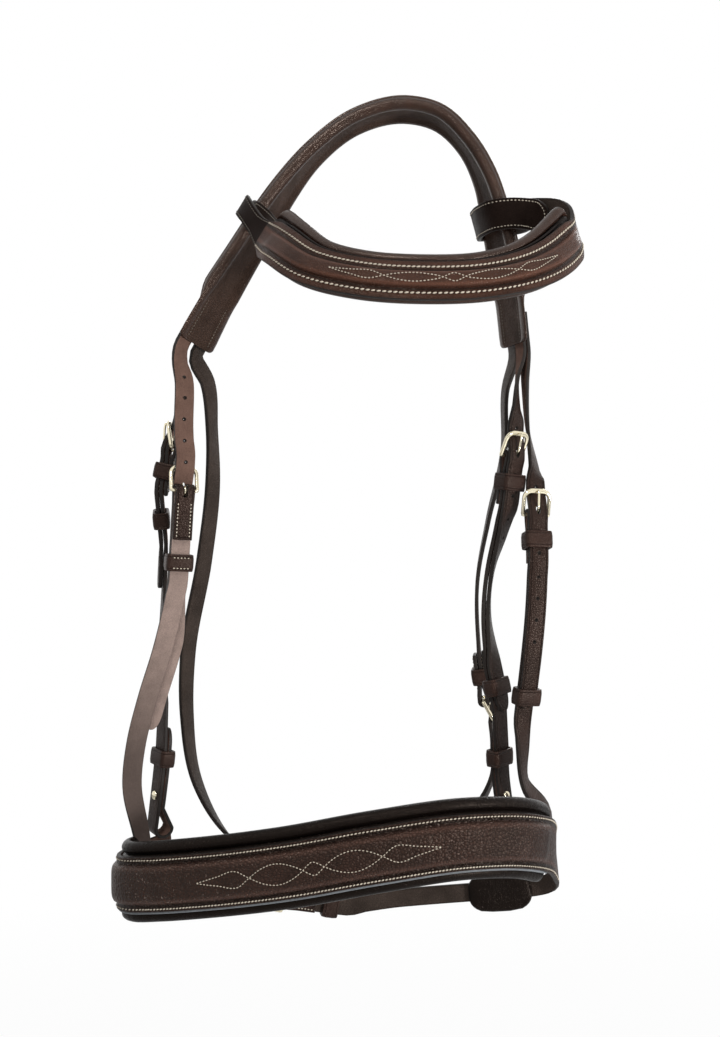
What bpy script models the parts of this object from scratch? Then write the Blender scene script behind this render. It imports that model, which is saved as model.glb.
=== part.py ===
"""A hunter bridle hung up by its headpiece, every leather, pad, keeper and buckle its own piece.

Each strap is cut flat, then laid along a route in space. A route gives three directions at every
place: along the strap, across it, and out from the horse. Flat leather has its length along X,
its width along Y and its thickness along Z before it is laid.
"""

import math

import bmesh
import bpy
import numpy as np
from mathutils import Matrix, Vector

# Overall sizes of the hanging bridle, in metres
HEAD_WIDTH = 0.200
BROW_REACH = 0.100
HANG_DROP = 0.500

# Fits
FIT_GAP = 0.00035
LAYER_GAP = 0.0005
KEEPER_GAP = 0.0006
POCKET_GAP = 0.0008
STATION = 0.013
TINY = 0.000001

# Strap leather
STRAP_WIDTH = 0.0127
STRAP_THICK = 0.0026
TIP_LENGTH = 0.012
FOLD_LENGTH = 0.032
CHIN_FOLD_LENGTH = 0.023
FOLD_SLOT_WIDTH = 0.0030
FOLD_SLOT_REACH = 0.0040

# Headpiece
CROWN_WIDTH = 0.043
CROWN_COVER_WIDTH = 0.0365
CROWN_COVER_THICK = 0.0027
CROWN_PAD_THICK = 0.0045
CROWN_ROLL_RADIUS = 0.0030
CROWN_POCKET_LENGTH = 0.020
CROWN_LINING_THICK = 0.0014
FRONT_STRAP_OFFSET = -0.0050
REAR_STRAP_OFFSET = 0.0135
POCKET_STRAP_OFFSET = -0.0105
CROWN_SEAT_LENGTH = 0.012
PAD_END_SHARE = 0.72

# Browband
BROW_LEATHER_WIDTH = 0.0200
BROW_LEATHER_THICK = 0.0026
BROW_RAISE = 0.0022
BROW_RAISE_WIDTH = 0.0110
BROW_PAD_WIDTH = 0.0335
BROW_PAD_RISE = 0.0052
BROW_PAD_THICK = 0.0060
BROW_ROLL_RADIUS = 0.0036
BROW_PATCH_CLEAR = 0.0020

# Noseband
NOSE_LEATHER_WIDTH = 0.0345
NOSE_LEATHER_THICK = 0.0028
NOSE_RAISE = 0.0032
NOSE_RAISE_WIDTH = 0.0250
NOSE_PAD_WIDTH = 0.0510
NOSE_PAD_RISE = 0.0024
NOSE_PAD_THICK = 0.0075
NOSE_ROLL_RADIUS = 0.0044
NOSE_SEAM_LENGTH = 0.020
NOSE_TAB_DROP = 0.012

# Chin strap
CHIN_PAD_WIDTH = 0.0270
CHIN_PAD_THICK = 0.0050
CHIN_PAD_ROLL_RADIUS = 0.0026
CHIN_PAD_PLACE_SHARES = (0.655, 0.790)

# Buckles and prongs
BUCKLE_LENGTH = 0.0158
BUCKLE_INNER_WIDTH = 0.0145
BUCKLE_BAR_RADIUS = 0.0012
BUCKLE_RIM_RADIUS = 0.0013
BUCKLE_CORNER_RADIUS = 0.0050
BUCKLE_TILT = math.radians(20.0)
PRONG_RADIUS = 0.0008
PRONG_KNEE_REACH = 0.0042
PRONG_LEAVE = math.radians(133.0)
PRONG_EYE_GAP = math.radians(38.0)
PRONG_EYE_TURN = math.radians(280.0)

# Billet holes
HOLE_RADIUS = 0.0018
HOLE_PITCH = 0.0140
WORN_HOLE_HALF_LENGTH = 0.0030
WORN_HOLE_HALF_WIDTH = 0.0016

# Keepers and hook studs
KEEPER_WIDTH = 0.0110
KEEPER_THICK = 0.0018
KEEPER_SLACK = 0.0008
RUNNER_SLIDE = 0.0030
BIT_LOOP_RADIUS = 0.0045
BIT_TAIL_LENGTH = 0.072
STUD_SHANK_RADIUS = 0.0011
STUD_CAP_RADIUS = 0.0030
STUD_CAP_THICK = 0.0012

# Places along each route: across, forward or back, and down, as shares of the overall sizes,
# then the way the grain side faces: its compass angle and its lift, in degrees
CROWN_ROUTE_SHARES = (
    (-0.690, 0.000, -0.305, 155, 0),
    (-0.610, 0.000, -0.246, 159, 4),
    (-0.534, 0.000, -0.196, 163, 9),
    (-0.464, 0.000, -0.151, 165, 16),
    (-0.386, 0.000, -0.103, 170, 30),
    (-0.290, 0.000, -0.056, 176, 50),
    (-0.155, 0.000, -0.015, 180, 73),
    (0.000, 0.000, 0.000, 0, 90),
    (0.105, 0.000, -0.010, 0, 78),
    (0.190, 0.000, -0.042, 0, 55),
    (0.252, 0.000, -0.088, 6, 28),
    (0.284, 0.000, -0.135, 12, 12),
    (0.312, 0.000, -0.185, 16, 4),
    (0.338, 0.000, -0.240, 18, 0),
    (0.356, 0.000, -0.305, 18, 0),
)
BROW_ROUTE_SHARES = (
    (-0.446, -0.56, -0.180, 214, 20),
    (-0.388, -0.79, -0.205, 236, 24),
    (-0.300, -1.00, -0.234, 252, 25),
    (-0.150, -1.15, -0.253, 264, 25),
    (0.040, -1.21, -0.260, 270, 25),
    (0.225, -1.15, -0.255, 278, 25),
    (0.375, -0.98, -0.236, 294, 24),
    (0.475, -0.75, -0.206, 320, 22),
    (0.520, -0.54, -0.176, 348, 16),
)
# The browband's loops, from the sewn patch inside it round to its front: shares of the
# headpiece's width across it and out of it, of that width down it, and the facing in degrees
BROW_LEFT_LOOP_SHARES = (
    (-0.98, -0.005, 0.04, -72),
    (-0.80, 0.040, 0.02, -84),
    (-0.64, 0.010, 0.00, -96),
    (-0.46, -0.060, 0.00, -90),
    (0.00, -0.075, 0.00, -90),
    (0.44, -0.060, 0.00, -80),
    (0.580, 0.070, 0.00, 0),
    (0.45, 0.205, 0.00, 75),
    (0.00, 0.207, 0.00, 90),
    (-0.46, 0.200, 0.00, 90),
    (-0.82, 0.110, 0.02, 104),
)
BROW_RIGHT_LOOP_SHARES = (
    (-0.945, 0.615, 0.26, -123),
    (-0.815, 0.500, 0.21, -132),
    (-0.725, 0.350, 0.14, -160),
    (-0.670, 0.110, 0.07, -176),
    (-0.540, -0.120, 0.02, -145),
    (-0.230, -0.220, 0.00, -100),
    (0.160, -0.180, -0.02, -82),
    (0.480, -0.080, -0.05, -40),
    (0.640, 0.130, -0.06, 10),
    (0.480, 0.360, -0.04, 45),
    (0.060, 0.460, 0.03, 88),
    (-0.400, 0.450, 0.08, 90),
    (-0.720, 0.520, 0.16, 52),
    (-0.930, 0.670, 0.25, 56),
)
NOSE_ROUTE_SHARES = (
    (-0.752, 0.24, -0.996, 143, 0),
    (-0.810, 0.10, -1.000, 143, 0),
    (-0.866, -0.04, -1.005, 145, 0),
    (-0.885, -0.14, -1.007, 180, 0),
    (-0.867, -0.25, -1.005, 216, 0),
    (-0.793, -0.36, -0.999, 244, 0),
    (-0.650, -0.48, -0.989, 260, 0),
    (-0.370, -0.63, -0.969, 266, 0),
    (-0.100, -0.69, -0.947, 272, 0),
    (0.170, -0.60, -0.935, 284, 0),
    (0.350, -0.37, -0.944, 308, 0),
    (0.432, -0.08, -0.966, 342, 0),
    (0.460, 0.18, -0.996, 4, 0),
)
CHIN_BEHIND_SHARES = (
    (-0.620, 0.38, -1.030, 94, 0),
    (-0.320, 0.55, -1.075, 90, 0),
    (0.000, 0.58, -1.064, 90, 0),
    (0.290, 0.56, -1.054, 88, 0),
    (0.400, 0.54, -1.050, 84, 0),
    (0.500, 0.46, -1.038, 52, 0),
)
CHEEK_LEFT_SHARES = (
    (-0.722, -0.04, -0.354, 160, 0),
    (-0.744, -0.04, -0.405, 166, 0),
    (-0.776, -0.04, -0.450, 178, 0),
    (-0.790, -0.04, -0.500, 184, 0),
    (-0.785, 0.02, -0.560, 188, 0),
    (-0.795, 0.09, -0.640, 194, 0),
    (-0.805, 0.12, -0.723, 204, 0),
    (-0.800, 0.13, -0.812, 214, 0),
    (-0.812, 0.14, -0.862, 216, 0),
    (-0.842, 0.18, -0.956, 212, 0),
)
CHEEK_RIGHT_SHARES = (
    (0.360, -0.07, -0.354, 356, 0),
    (0.354, -0.12, -0.412, 328, 0),
    (0.346, -0.14, -0.460, 306, 0),
    (0.330, -0.11, -0.506, 306, 0),
    (0.300, -0.04, -0.552, 330, 0),
    (0.268, 0.00, -0.598, 350, 0),
    (0.254, 0.00, -0.664, 350, 0),
    (0.277, -0.02, -0.727, 326, 0),
    (0.305, -0.03, -0.783, 308, 0),
    (0.312, 0.00, -0.826, 312, 0),
    (0.316, 0.02, -0.867, 316, 0),
    (0.345, 0.03, -0.952, 320, 0),
)
NOSE_LEFT_SHARES = (
    (-0.716, -0.17, -0.360, 116, 0),
    (-0.717, -0.20, -0.418, 112, 0),
    (-0.706, -0.20, -0.486, 112, 0),
    (-0.696, -0.20, -0.520, 112, 0),
    (-0.722, -0.18, -0.575, 110, 0),
    (-0.742, -0.18, -0.625, 108, 0),
    (-0.788, -0.17, -0.704, 108, 0),
    (-0.840, -0.15, -0.770, 106, 0),
    (-0.880, -0.10, -0.830, 104, 0),
    (-0.897, -0.04, -0.884, 106, 0),
)
NOSE_RIGHT_SHARES = (
    (0.388, -0.04, -0.356, 8, 0),
    (0.397, 0.00, -0.412, 356, 0),
    (0.417, -0.07, -0.472, 326, 0),
    (0.422, -0.21, -0.528, 284, 0),
    (0.421, -0.22, -0.585, 280, 0),
    (0.414, -0.21, -0.650, 284, 0),
    (0.398, -0.19, -0.718, 290, 0),
    (0.380, -0.16, -0.776, 298, 0),
    (0.376, -0.13, -0.830, 318, 0),
    (0.384, -0.08, -0.880, 340, 0),
)
THROAT_SHARES = (
    (-0.655, 0.17, -0.352, 142, 0),
    (-0.642, 0.21, -0.415, 154, 0),
    (-0.642, 0.25, -0.485, 142, 0),
    (-0.672, 0.27, -0.590, 137, 0),
    (-0.728, 0.29, -0.715, 139, 0),
    (-0.732, 0.30, -0.800, 148, 0),
    (-0.696, 0.31, -0.892, 164, 0),
    (-0.590, 0.32, -0.965, 190, 0),
    (-0.400, 0.33, -1.014, 225, 0),
    (-0.180, 0.33, -1.028, 262, 0),
    (0.060, 0.33, -1.000, 305, 0),
    (0.235, 0.34, -0.934, 336, 0),
    (0.300, 0.34, -0.880, 346, 0),
    (0.295, 0.35, -0.828, 350, 0),
    (0.270, 0.34, -0.770, 352, 0),
    (0.248, 0.32, -0.700, 354, 0),
    (0.244, 0.30, -0.620, 356, 0),
    (0.280, 0.27, -0.535, 0, 0),
    (0.331, 0.22, -0.440, 6, 0),
    (0.334, 0.18, -0.360, 10, 0),
)

# Where the heel bar of each buckle lies, as a share of its route's length, how long the tail
# of the billet is past the bar, and how far past the bar its keepers lie
CHEEK_LEFT_BAR_SHARE = 0.262
CHEEK_RIGHT_BAR_SHARE = 0.272
NOSE_LEFT_BAR_SHARE = 0.310
NOSE_RIGHT_BAR_SHARE = 0.358
THROAT_BAR_SHARE = 0.706
CHIN_BAR_SHARE = 0.300
CHEEK_LEFT_TAIL = 0.095
CHEEK_RIGHT_TAIL = 0.172
NOSE_LEFT_TAIL = 0.160
NOSE_RIGHT_TAIL = 0.126
THROAT_TAIL = 0.034
CHIN_TAIL = 0.050
FIRST_KEEPER_PLACE = 0.0170
CHEEK_LEFT_RUNNER_PLACE = 0.048
CHEEK_RIGHT_RUNNER_PLACE = 0.156
NOSE_LEFT_KEEPER_PLACE = 0.047
NOSE_RIGHT_RUNNER_PLACE = 0.118
CHIN_RUNNER_PLACE = 0.034
BIT_KEEPER_PLACE = 0.052
STUD_PLACE = 0.026
NOSE_LEFT_DRIFT = 0.0065
BROW_LEFT_SPOT = Vector((-0.47 * HEAD_WIDTH, 0.0, -0.145 * HANG_DROP))
BROW_RIGHT_SPOT = Vector((0.290 * HEAD_WIDTH, 0.0, -0.142 * HANG_DROP))
BROW_LOOP_STATION = 0.0075

ROUND_SIDES = 8
ROUTE_STEP = 0.001


def spaced(start, end, longest):
    """Places from start to end, none further apart than longest."""
    count = max(1, math.ceil(abs(end - start) / longest - TINY))
    return [start + (end - start) * i / count for i in range(count + 1)]


def facing(compass, lift):
    """The direction of a compass angle and a lift, both in degrees."""
    turn, rise = math.radians(compass), math.radians(lift)
    flat = math.cos(rise)
    return Vector((math.cos(turn) * flat, math.sin(turn) * flat, math.sin(rise)))


class Route:
    """A smooth line through places, each with the way the grain side faces there."""

    def __init__(self, places):
        points = np.array([list(point) for point, _ in places])
        faces = np.array([list(face) for _, face in places])
        chords = np.linalg.norm(np.diff(points, axis=0), axis=1)
        knots = np.concatenate([[0.0], np.cumsum(chords)])
        samples = np.linspace(0.0, knots[-1], int(knots[-1] / ROUTE_STEP) + 2)
        line = self.hermite(knots, points, samples)
        lengths = np.linalg.norm(np.diff(line, axis=0), axis=1)
        self.at = np.concatenate([[0.0], np.cumsum(lengths)])
        self.length = float(self.at[-1])
        self.line = line
        self.faces = self.hermite(knots, faces, samples)
        self.tangents = np.gradient(line, self.at, axis=0)

    @staticmethod
    def hermite(knots, values, samples):
        slopes = np.gradient(values, knots, axis=0)
        span = np.clip(np.searchsorted(knots, samples, side="right") - 1, 0, len(knots) - 2)
        width = (knots[span + 1] - knots[span])[:, None]
        t = (samples - knots[span])[:, None] / width
        rise, fall = t * t * (3 - 2 * t), (1 - t) * (1 - t) * (1 + 2 * t)
        start, end = t * (1 - t) * (1 - t), -t * t * (1 - t)
        ends = fall * values[span] + rise * values[span + 1]
        return ends + width * (start * slopes[span] + end * slopes[span + 1])

    def read(self, table, s):
        return Vector([float(np.interp(s, self.at, column)) for column in table.T])

    def frame(self, s):
        """The place at s and the directions along, across and out."""
        inside = min(max(s, 0.0), self.length)
        along = self.read(self.tangents, inside).normalized()
        point = self.read(self.line, inside) + along * (s - inside)
        out = self.read(self.faces, inside)
        out = (out - along * out.dot(along)).normalized()
        return point, along, out.cross(along), out

    def place(self, s, across, out):
        point, _, side, up = self.frame(s)
        return point + side * across + up * out

    def seat(self, s, across, out):
        """A place and facing on this route, for another route to start or end at."""
        return self.place(s, across, out), self.frame(s)[3]

    def straighten(self, start, end, blend):
        """Draws a stretch of the route straight, with one facing, and eases it into the rest."""
        first, last = self.read(self.line, start), self.read(self.line, end)
        face = self.read(self.faces, (start + end) / 2)
        straight = np.array([first + (last - first) * ((s - start) / (end - start)) for s in self.at])
        share = np.array([smooth_step(s, start - blend, start) - smooth_step(s, end, end + blend)
                          for s in self.at])[:, None]
        self.line = self.line + (straight - self.line) * share
        self.faces = self.faces + (np.array(list(face)) - self.faces) * share
        lengths = np.linalg.norm(np.diff(self.line, axis=0), axis=1)
        self.at = np.concatenate([[0.0], np.cumsum(lengths)])
        self.length = float(self.at[-1])
        self.tangents = np.gradient(self.line, self.at, axis=0)

    def nearest(self, target):
        """The length along the route at which it comes nearest to a place."""
        gaps = np.linalg.norm(self.line - np.array(list(target)), axis=1)
        return float(self.at[int(np.argmin(gaps))])


def places(shares):
    """Places and facings from a table of shares."""
    found = []
    for across, back, down, compass, lift in shares:
        point = Vector((across * HEAD_WIDTH, back * BROW_REACH, down * HANG_DROP))
        found.append((point, facing(compass, lift)))
    return found


def material(name, colour, roughness, metallic=0.0):
    made = bpy.data.materials.new(name)
    made.use_nodes = True
    shader = made.node_tree.nodes["Principled BSDF"]
    shader.inputs["Base Color"].default_value = (*colour, 1.0)
    shader.inputs["Roughness"].default_value = roughness
    shader.inputs["Metallic"].default_value = metallic
    return made


def add_object(name, bm, collection, finish, origin=None, motion=None):
    """Closes a mesh, turns its faces outwards and adds it under its own name."""
    bmesh.ops.recalc_face_normals(bm, faces=bm.faces)
    if bm.calc_volume(signed=True) < 0:
        bmesh.ops.reverse_faces(bm, faces=bm.faces)
    mesh = bpy.data.meshes.new(name)
    if origin is not None:
        bmesh.ops.translate(bm, verts=bm.verts, vec=-origin)
    bm.to_mesh(mesh)
    bm.free()
    mesh.shade_smooth()
    mesh.set_sharp_from_angle(angle=math.radians(40.0))
    made = bpy.data.objects.new(name, mesh)
    collection.objects.link(made)
    made.data.materials.append(material(f"{name}_{finish[0]}", *finish[1:]))
    if origin is not None:
        made.location = origin
    if motion is not None:
        axis = ", ".join(f"{value:.5f}" for value in motion)
        made["motion_axis"] = axis
    return made


def grid(rows, columns):
    """A flat sheet of rows by columns of vertices, and its vertices as a table."""
    bm = bmesh.new()
    bmesh.ops.create_grid(bm, x_segments=columns - 1, y_segments=rows - 1, size=1.0)
    bm.verts.ensure_lookup_table()
    table = [[bm.verts[row * columns + column] for column in range(columns)] for row in range(rows)]
    return bm, table


class Lay:
    """How a flat strap lies over its route: a path of length along and height out."""

    def __init__(self, path):
        self.path = np.array(path)
        steps = np.diff(self.path, axis=0)
        self.at = np.concatenate([[0.0], np.cumsum(np.linalg.norm(steps, axis=1))])
        slopes = steps / np.linalg.norm(steps, axis=1)[:, None]
        ahead = np.vstack([slopes, slopes[-1:]])
        behind = np.vstack([slopes[:1], slopes])
        middle = ahead + behind
        middle /= np.linalg.norm(middle, axis=1)[:, None]
        self.outward = np.column_stack([-middle[:, 1], middle[:, 0]])
        self.length = float(self.at[-1])

    def read(self, u, thickness):
        s = np.interp(u, self.at, self.path[:, 0])
        h = np.interp(u, self.at, self.path[:, 1])
        out = np.array([np.interp(u, self.at, self.outward[:, i]) for i in (0, 1)])
        out /= np.linalg.norm(out)
        return float(s + out[0] * thickness), float(h + out[1] * thickness)


def cut_strap(lay, columns, width_share, holes=(), slots=()):
    """A flat strap with round holes on its middle line and slots cut out of its middle cell."""
    bm, table = grid(len(lay.at), len(columns))
    for row, u in zip(table, lay.at):
        for vertex, across in zip(row, columns):
            vertex.co = Vector((u, across * width_share(u), 0.0))
    middle = (len(columns) - 1) // 2
    doomed = []
    for start, end in slots:
        for face in bm.faces:
            centre = face.calc_center_median()
            if start < centre.x < end and abs(centre.y) < TINY:
                doomed.append(face)
    if doomed:
        bmesh.ops.delete(bm, geom=doomed, context="FACES")
    for place, half_length, half_width in holes:
        row = table[int(np.argmin(np.abs(lay.at - place)))]
        centre = row[middle]
        spot = centre.co.copy()
        corners = {v for face in centre.link_faces for v in face.verts}
        near = {edge.other_vert(centre) for edge in centre.link_edges}
        for corner in corners - near - {centre}:
            bmesh.ops.connect_verts(bm, verts=[centre, corner])
        made = bmesh.ops.bevel(bm, geom=[centre], offset=half_length, affect="VERTICES",
                               segments=1, profile=0.5, material=-1)
        rim = made["verts"]
        for vertex in rim:
            reach = vertex.co - spot
            turn = math.atan2(reach.y, reach.x)
            vertex.co = spot + Vector((half_length * math.cos(turn), half_width * math.sin(turn), 0.0))
        inner = [face for face in made["faces"] if all(v in rim for v in face.verts)]
        bmesh.ops.delete(bm, geom=inner, context="FACES")
    return bm


def lay_strap(bm, lay, route, thickness, drift=None):
    """Gives a flat strap its thickness and lays it over its route."""
    made = bmesh.ops.extrude_face_region(bm, geom=bm.faces[:], use_keep_orig=True)
    for item in made["geom"]:
        if isinstance(item, bmesh.types.BMVert):
            item.co.z = thickness
    for vertex in bm.verts:
        s, h = lay.read(vertex.co.x, vertex.co.z)
        across = vertex.co.y + (drift(s) if drift else 0.0)
        vertex.co = route.place(s, across, h)
    return bm


def roll_sheet(rows, closed_rows):
    """A sheet rolled into a tube, from rows of points; the tube's ends are capped or joined."""
    count = len(rows[0])
    total = len(rows) + (1 if closed_rows else 0)
    bm, table = grid(total, count + 1)
    for i, row in enumerate(table):
        points = rows[i % len(rows)]
        for j, vertex in enumerate(row):
            vertex.co = points[j % count]
    bmesh.ops.remove_doubles(bm, verts=bm.verts, dist=TINY)
    if not closed_rows:
        bmesh.ops.holes_fill(bm, edges=[e for e in bm.edges if e.is_boundary], sides=count)
    return bm


def smooth_step(x, start, end):
    t = min(max((x - start) / (end - start), 0.0), 1.0)
    return t * t * (3 - 2 * t)


def tip_width(length, at_start, at_end):
    """Share of the full width along a strap whose ends are cut to a rounded point."""
    def share(u):
        reach = min(u if at_start else TIP_LENGTH, length - u if at_end else TIP_LENGTH, TIP_LENGTH)
        along = max(reach, 0.0) / TIP_LENGTH
        return 0.22 + 0.78 * math.sqrt(1 - (1 - along) ** 2)
    return share


def with_tip_rows(path, at_start, at_end):
    """Adds rows near a pointed end, so its outline is round."""
    for wanted, here, towards in ((at_start, 0, 1), (at_end, -1, -2)):
        if not wanted:
            continue
        a, b = np.array(path[here]), np.array(path[towards])
        way = (b - a) / np.linalg.norm(b - a)
        keep = [p for p in path if np.linalg.norm(np.array(p) - a) > TIP_LENGTH * 1.1]
        rows = [tuple(a + way * TIP_LENGTH * share) for share in (0.0, 0.07, 0.25, 0.55, 1.0)]
        path = rows + keep if here == 0 else keep + rows[::-1]
    return path


BAR_CLEAR = BUCKLE_BAR_RADIUS + FIT_GAP
BAR_HEIGHT = -LAYER_GAP / 2
OVER_BAR = BAR_HEIGHT + BAR_CLEAR + STRAP_THICK + LAYER_GAP
OVER_STRAP = STRAP_THICK + LAYER_GAP
RIM_REACH = BUCKLE_LENGTH * math.cos(BUCKLE_TILT)
RIM_HEIGHT = BAR_HEIGHT + BUCKLE_LENGTH * math.sin(BUCKLE_TILT)
UNDER_RIM = RIM_HEIGHT - BUCKLE_RIM_RADIUS * 1.15 - FIT_GAP * 2.2 - STRAP_THICK
BILLET_SETTLE = BUCKLE_LENGTH * 1.8
BILLET_REST = BUCKLE_LENGTH * 0.62


def billet_height(s, bar):
    """Height of a billet's flesh side: flat, under the rim, over the bar, then on the strap."""
    rim = bar - RIM_REACH
    if s < rim:
        return UNDER_RIM * smooth_step(s, bar - BILLET_SETTLE, rim)
    if s < bar:
        return UNDER_RIM + (OVER_BAR - UNDER_RIM) * (s - rim) / (bar - rim)
    return OVER_BAR + (OVER_STRAP - OVER_BAR) * smooth_step(s, bar, bar + BILLET_REST)


def fold_path(bar, far_end, fold_length):
    """Path of a strap folded round a heel bar: in along the flesh side, round, and away."""
    near, far = bar + FIRST_KEEPER_PLACE - KEEPER_WIDTH / 2, bar + FIRST_KEEPER_PLACE + KEEPER_WIDTH / 2
    inner = [(s, -LAYER_GAP) for s in (bar + fold_length, far, near, bar + BILLET_REST)]
    slot_row = bar + FOLD_SLOT_REACH
    inner.append((slot_row, BAR_HEIGHT - BAR_CLEAR * 0.8))
    arc = []
    for i in range(7):
        turn = -math.pi / 2 - math.pi * i / 6
        arc.append((bar + BAR_CLEAR * math.cos(turn), BAR_HEIGHT + BAR_CLEAR * math.sin(turn)))
    outer = [(slot_row, BAR_HEIGHT + BAR_CLEAR * 0.8)]
    outer += [(s, 0.0) for s in [bar + BILLET_REST, near] + spaced(far, far_end, STATION)]
    return inner + arc + outer


def slot_span(lay, bar):
    """The stretch of a folded strap, about its bar, that the prong's slot takes."""
    at = [u for u, (s, h) in zip(lay.at, lay.path) if s < bar + FOLD_SLOT_REACH + TINY]
    return min(at), max(at)


def billet_path(start, end, bar, hole_places):
    """Path of a billet from its sewn end, through the buckle, to its point."""
    marks = set(spaced(start, bar - BILLET_SETTLE, STATION)[:-1])
    marks |= set(spaced(bar - BILLET_SETTLE, bar - RIM_REACH, STATION / 3)[:-1])
    marks |= set(spaced(bar - RIM_REACH, bar, STATION / 4)[:-1])
    marks |= set(spaced(bar, bar + BILLET_REST, STATION / 4))
    marks |= {bar + FIRST_KEEPER_PLACE - KEEPER_WIDTH / 2}
    marks |= set(spaced(bar + FIRST_KEEPER_PLACE + KEEPER_WIDTH / 2, end, STATION))
    flank = WORN_HOLE_HALF_LENGTH * 1.35
    for hole in hole_places:
        marks = {s for s in marks if abs(s - hole) > flank * 1.3}
        marks |= {hole - flank, hole, hole + flank}
    marks = sorted(s for s in marks if start - TINY <= s <= end + TINY)
    return [(s, billet_height(s, bar)) for s in marks]


def billet_holes(start, end, bar, before, after):
    """Places of a billet's holes along its route; the first is the one in use."""
    used = bar - PRONG_KNEE_REACH / 2
    found = [used]
    for i in range(1, before + 1):
        found.append(used - RIM_REACH * 0.15 - HOLE_PITCH * i)
    for i in range(1, after + 1):
        found.append(used + HOLE_PITCH * i)
    margin = TIP_LENGTH + HOLE_PITCH / 2
    return [hole for hole in found if start + margin < hole < end - margin or hole == used]


def make_billet(name, route, start, bar, tail, before, after, collection, finish, drift=None):
    end = bar + tail
    hole_places = billet_holes(start, end, bar, before, after)
    path = with_tip_rows(billet_path(start, end, bar, hole_places), False, True)
    lay = Lay(path)
    columns = (-STRAP_WIDTH / 2, 0.0, STRAP_WIDTH / 2)
    holes = []
    for hole in hole_places:
        u = float(np.interp(hole, lay.path[:, 0], lay.at))
        sizes = (HOLE_RADIUS, HOLE_RADIUS)
        if hole == hole_places[0]:
            sizes = (WORN_HOLE_HALF_LENGTH, WORN_HOLE_HALF_WIDTH)
        holes.append((u, *sizes))
    bm = cut_strap(lay, columns, tip_width(lay.length, False, True), holes)
    lay_strap(bm, lay, route, STRAP_THICK, drift)
    return add_object(name, bm, collection, finish)


def slotted_columns(width):
    return (-width / 2, -FOLD_SLOT_WIDTH / 2, FOLD_SLOT_WIDTH / 2, width / 2)


def make_folded_strap(name, route, bar, far_end, collection, finish, fold_length=None):
    """A strap folded round its buckle's bar and running on to its other end."""
    lay = Lay(fold_path(bar, far_end, fold_length or FOLD_LENGTH))
    columns = slotted_columns(STRAP_WIDTH)
    bm = cut_strap(lay, columns, lambda u: 1.0, slots=[slot_span(lay, bar)])
    lay_strap(bm, lay, route, STRAP_THICK)
    return add_object(name, bm, collection, finish)


def marks_round(start, end, spot, half):
    """Places from start to end with one cell of a set length round a spot."""
    low, high = min(start, end), max(start, end)
    marks = [s for s in spaced(low, high, STATION) if abs(s - spot) > half * 1.5]
    return sorted(marks + [spot - half, spot + half], reverse=start > end)


def cheekpiece_path(bar, bottom):
    """A cheekpiece: folded at the buckle, down to the bit loop, and back up inside to its tip."""
    close = bottom - BIT_LOOP_RADIUS * 4
    stud = bottom - STUD_PLACE
    half = STUD_SHANK_RADIUS + KEEPER_SLACK
    path = [p for p in fold_path(bar, close, FOLD_LENGTH) if p[1] != 0.0]
    near, far = bar + FIRST_KEEPER_PLACE - KEEPER_WIDTH / 2, bar + FIRST_KEEPER_PLACE + KEEPER_WIDTH / 2
    path += [(s, 0.0) for s in [bar + BILLET_REST, near] + marks_round(far, close, stud, half)]
    for i in range(9):
        turn = math.pi / 2 - math.pi * i / 8
        path.append((bottom - BIT_LOOP_RADIUS + BIT_LOOP_RADIUS * math.cos(turn),
                     -BIT_LOOP_RADIUS + BIT_LOOP_RADIUS * math.sin(turn)))
    path += [(s, -LAYER_GAP) for s in marks_round(close, bottom - BIT_TAIL_LENGTH, stud, half)]
    return with_tip_rows(path, False, True)


def make_cheekpiece(name, route, bar, bottom, collection, finish):
    stud = bottom - STUD_PLACE
    lay = Lay(cheekpiece_path(bar, bottom))
    spans = [slot_span(lay, bar)]
    for u0, u1 in zip(lay.at[:-1], lay.at[1:]):
        s = float(np.interp((u0 + u1) / 2, lay.at, lay.path[:, 0]))
        if abs(s - stud) < STUD_SHANK_RADIUS:
            spans.append((float(u0), float(u1)))
    bm = cut_strap(lay, slotted_columns(STRAP_WIDTH), tip_width(lay.length, False, True), slots=spans)
    lay_strap(bm, lay, route, STRAP_THICK)
    return add_object(name, bm, collection, finish)


def make_keeper(name, route, s, low, high, across, collection, finish, centre=0.0, width=KEEPER_WIDTH):
    """A leather loop round a strap: a flat band whose joint the strap hides."""
    half, corner = across / 2 + KEEPER_GAP, KEEPER_THICK * 0.45
    low, high = low - KEEPER_GAP, high + KEEPER_GAP
    ring = []
    corners = ((half, high, 0), (-half, high, 1), (-half, low, 2), (half, low, 3))
    for t, h, quarter in corners:
        centre_t = t - math.copysign(corner, t)
        centre_h = h - corner if quarter < 2 else h + corner
        for i in range(3):
            turn = (quarter + i / 2) * math.pi / 2
            ring.append((centre_t, centre_h, math.cos(turn), math.sin(turn)))
    rows = []
    for t, h, c, d in ring:
        row = []
        for along, radius in ((-width / 2, corner), (width / 2, corner),
                              (width / 2, corner + KEEPER_THICK), (-width / 2, corner + KEEPER_THICK)):
            row.append(route.place(s + along, centre + t + c * radius, h + d * radius))
        rows.append(row)
    axis = route.frame(s)[1]
    return add_object(name, roll_sheet(rows, True), collection, finish, route.place(s, centre, low), axis)


def local_frame(route, bar):
    """Matrix whose X runs from the heel bar towards the rim, Y across and Z out."""
    point, along, side, out = route.frame(bar)
    matrix = Matrix((-along, -side, out)).transposed().to_4x4()
    matrix.translation = point + out * BAR_HEIGHT
    return matrix, side


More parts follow.
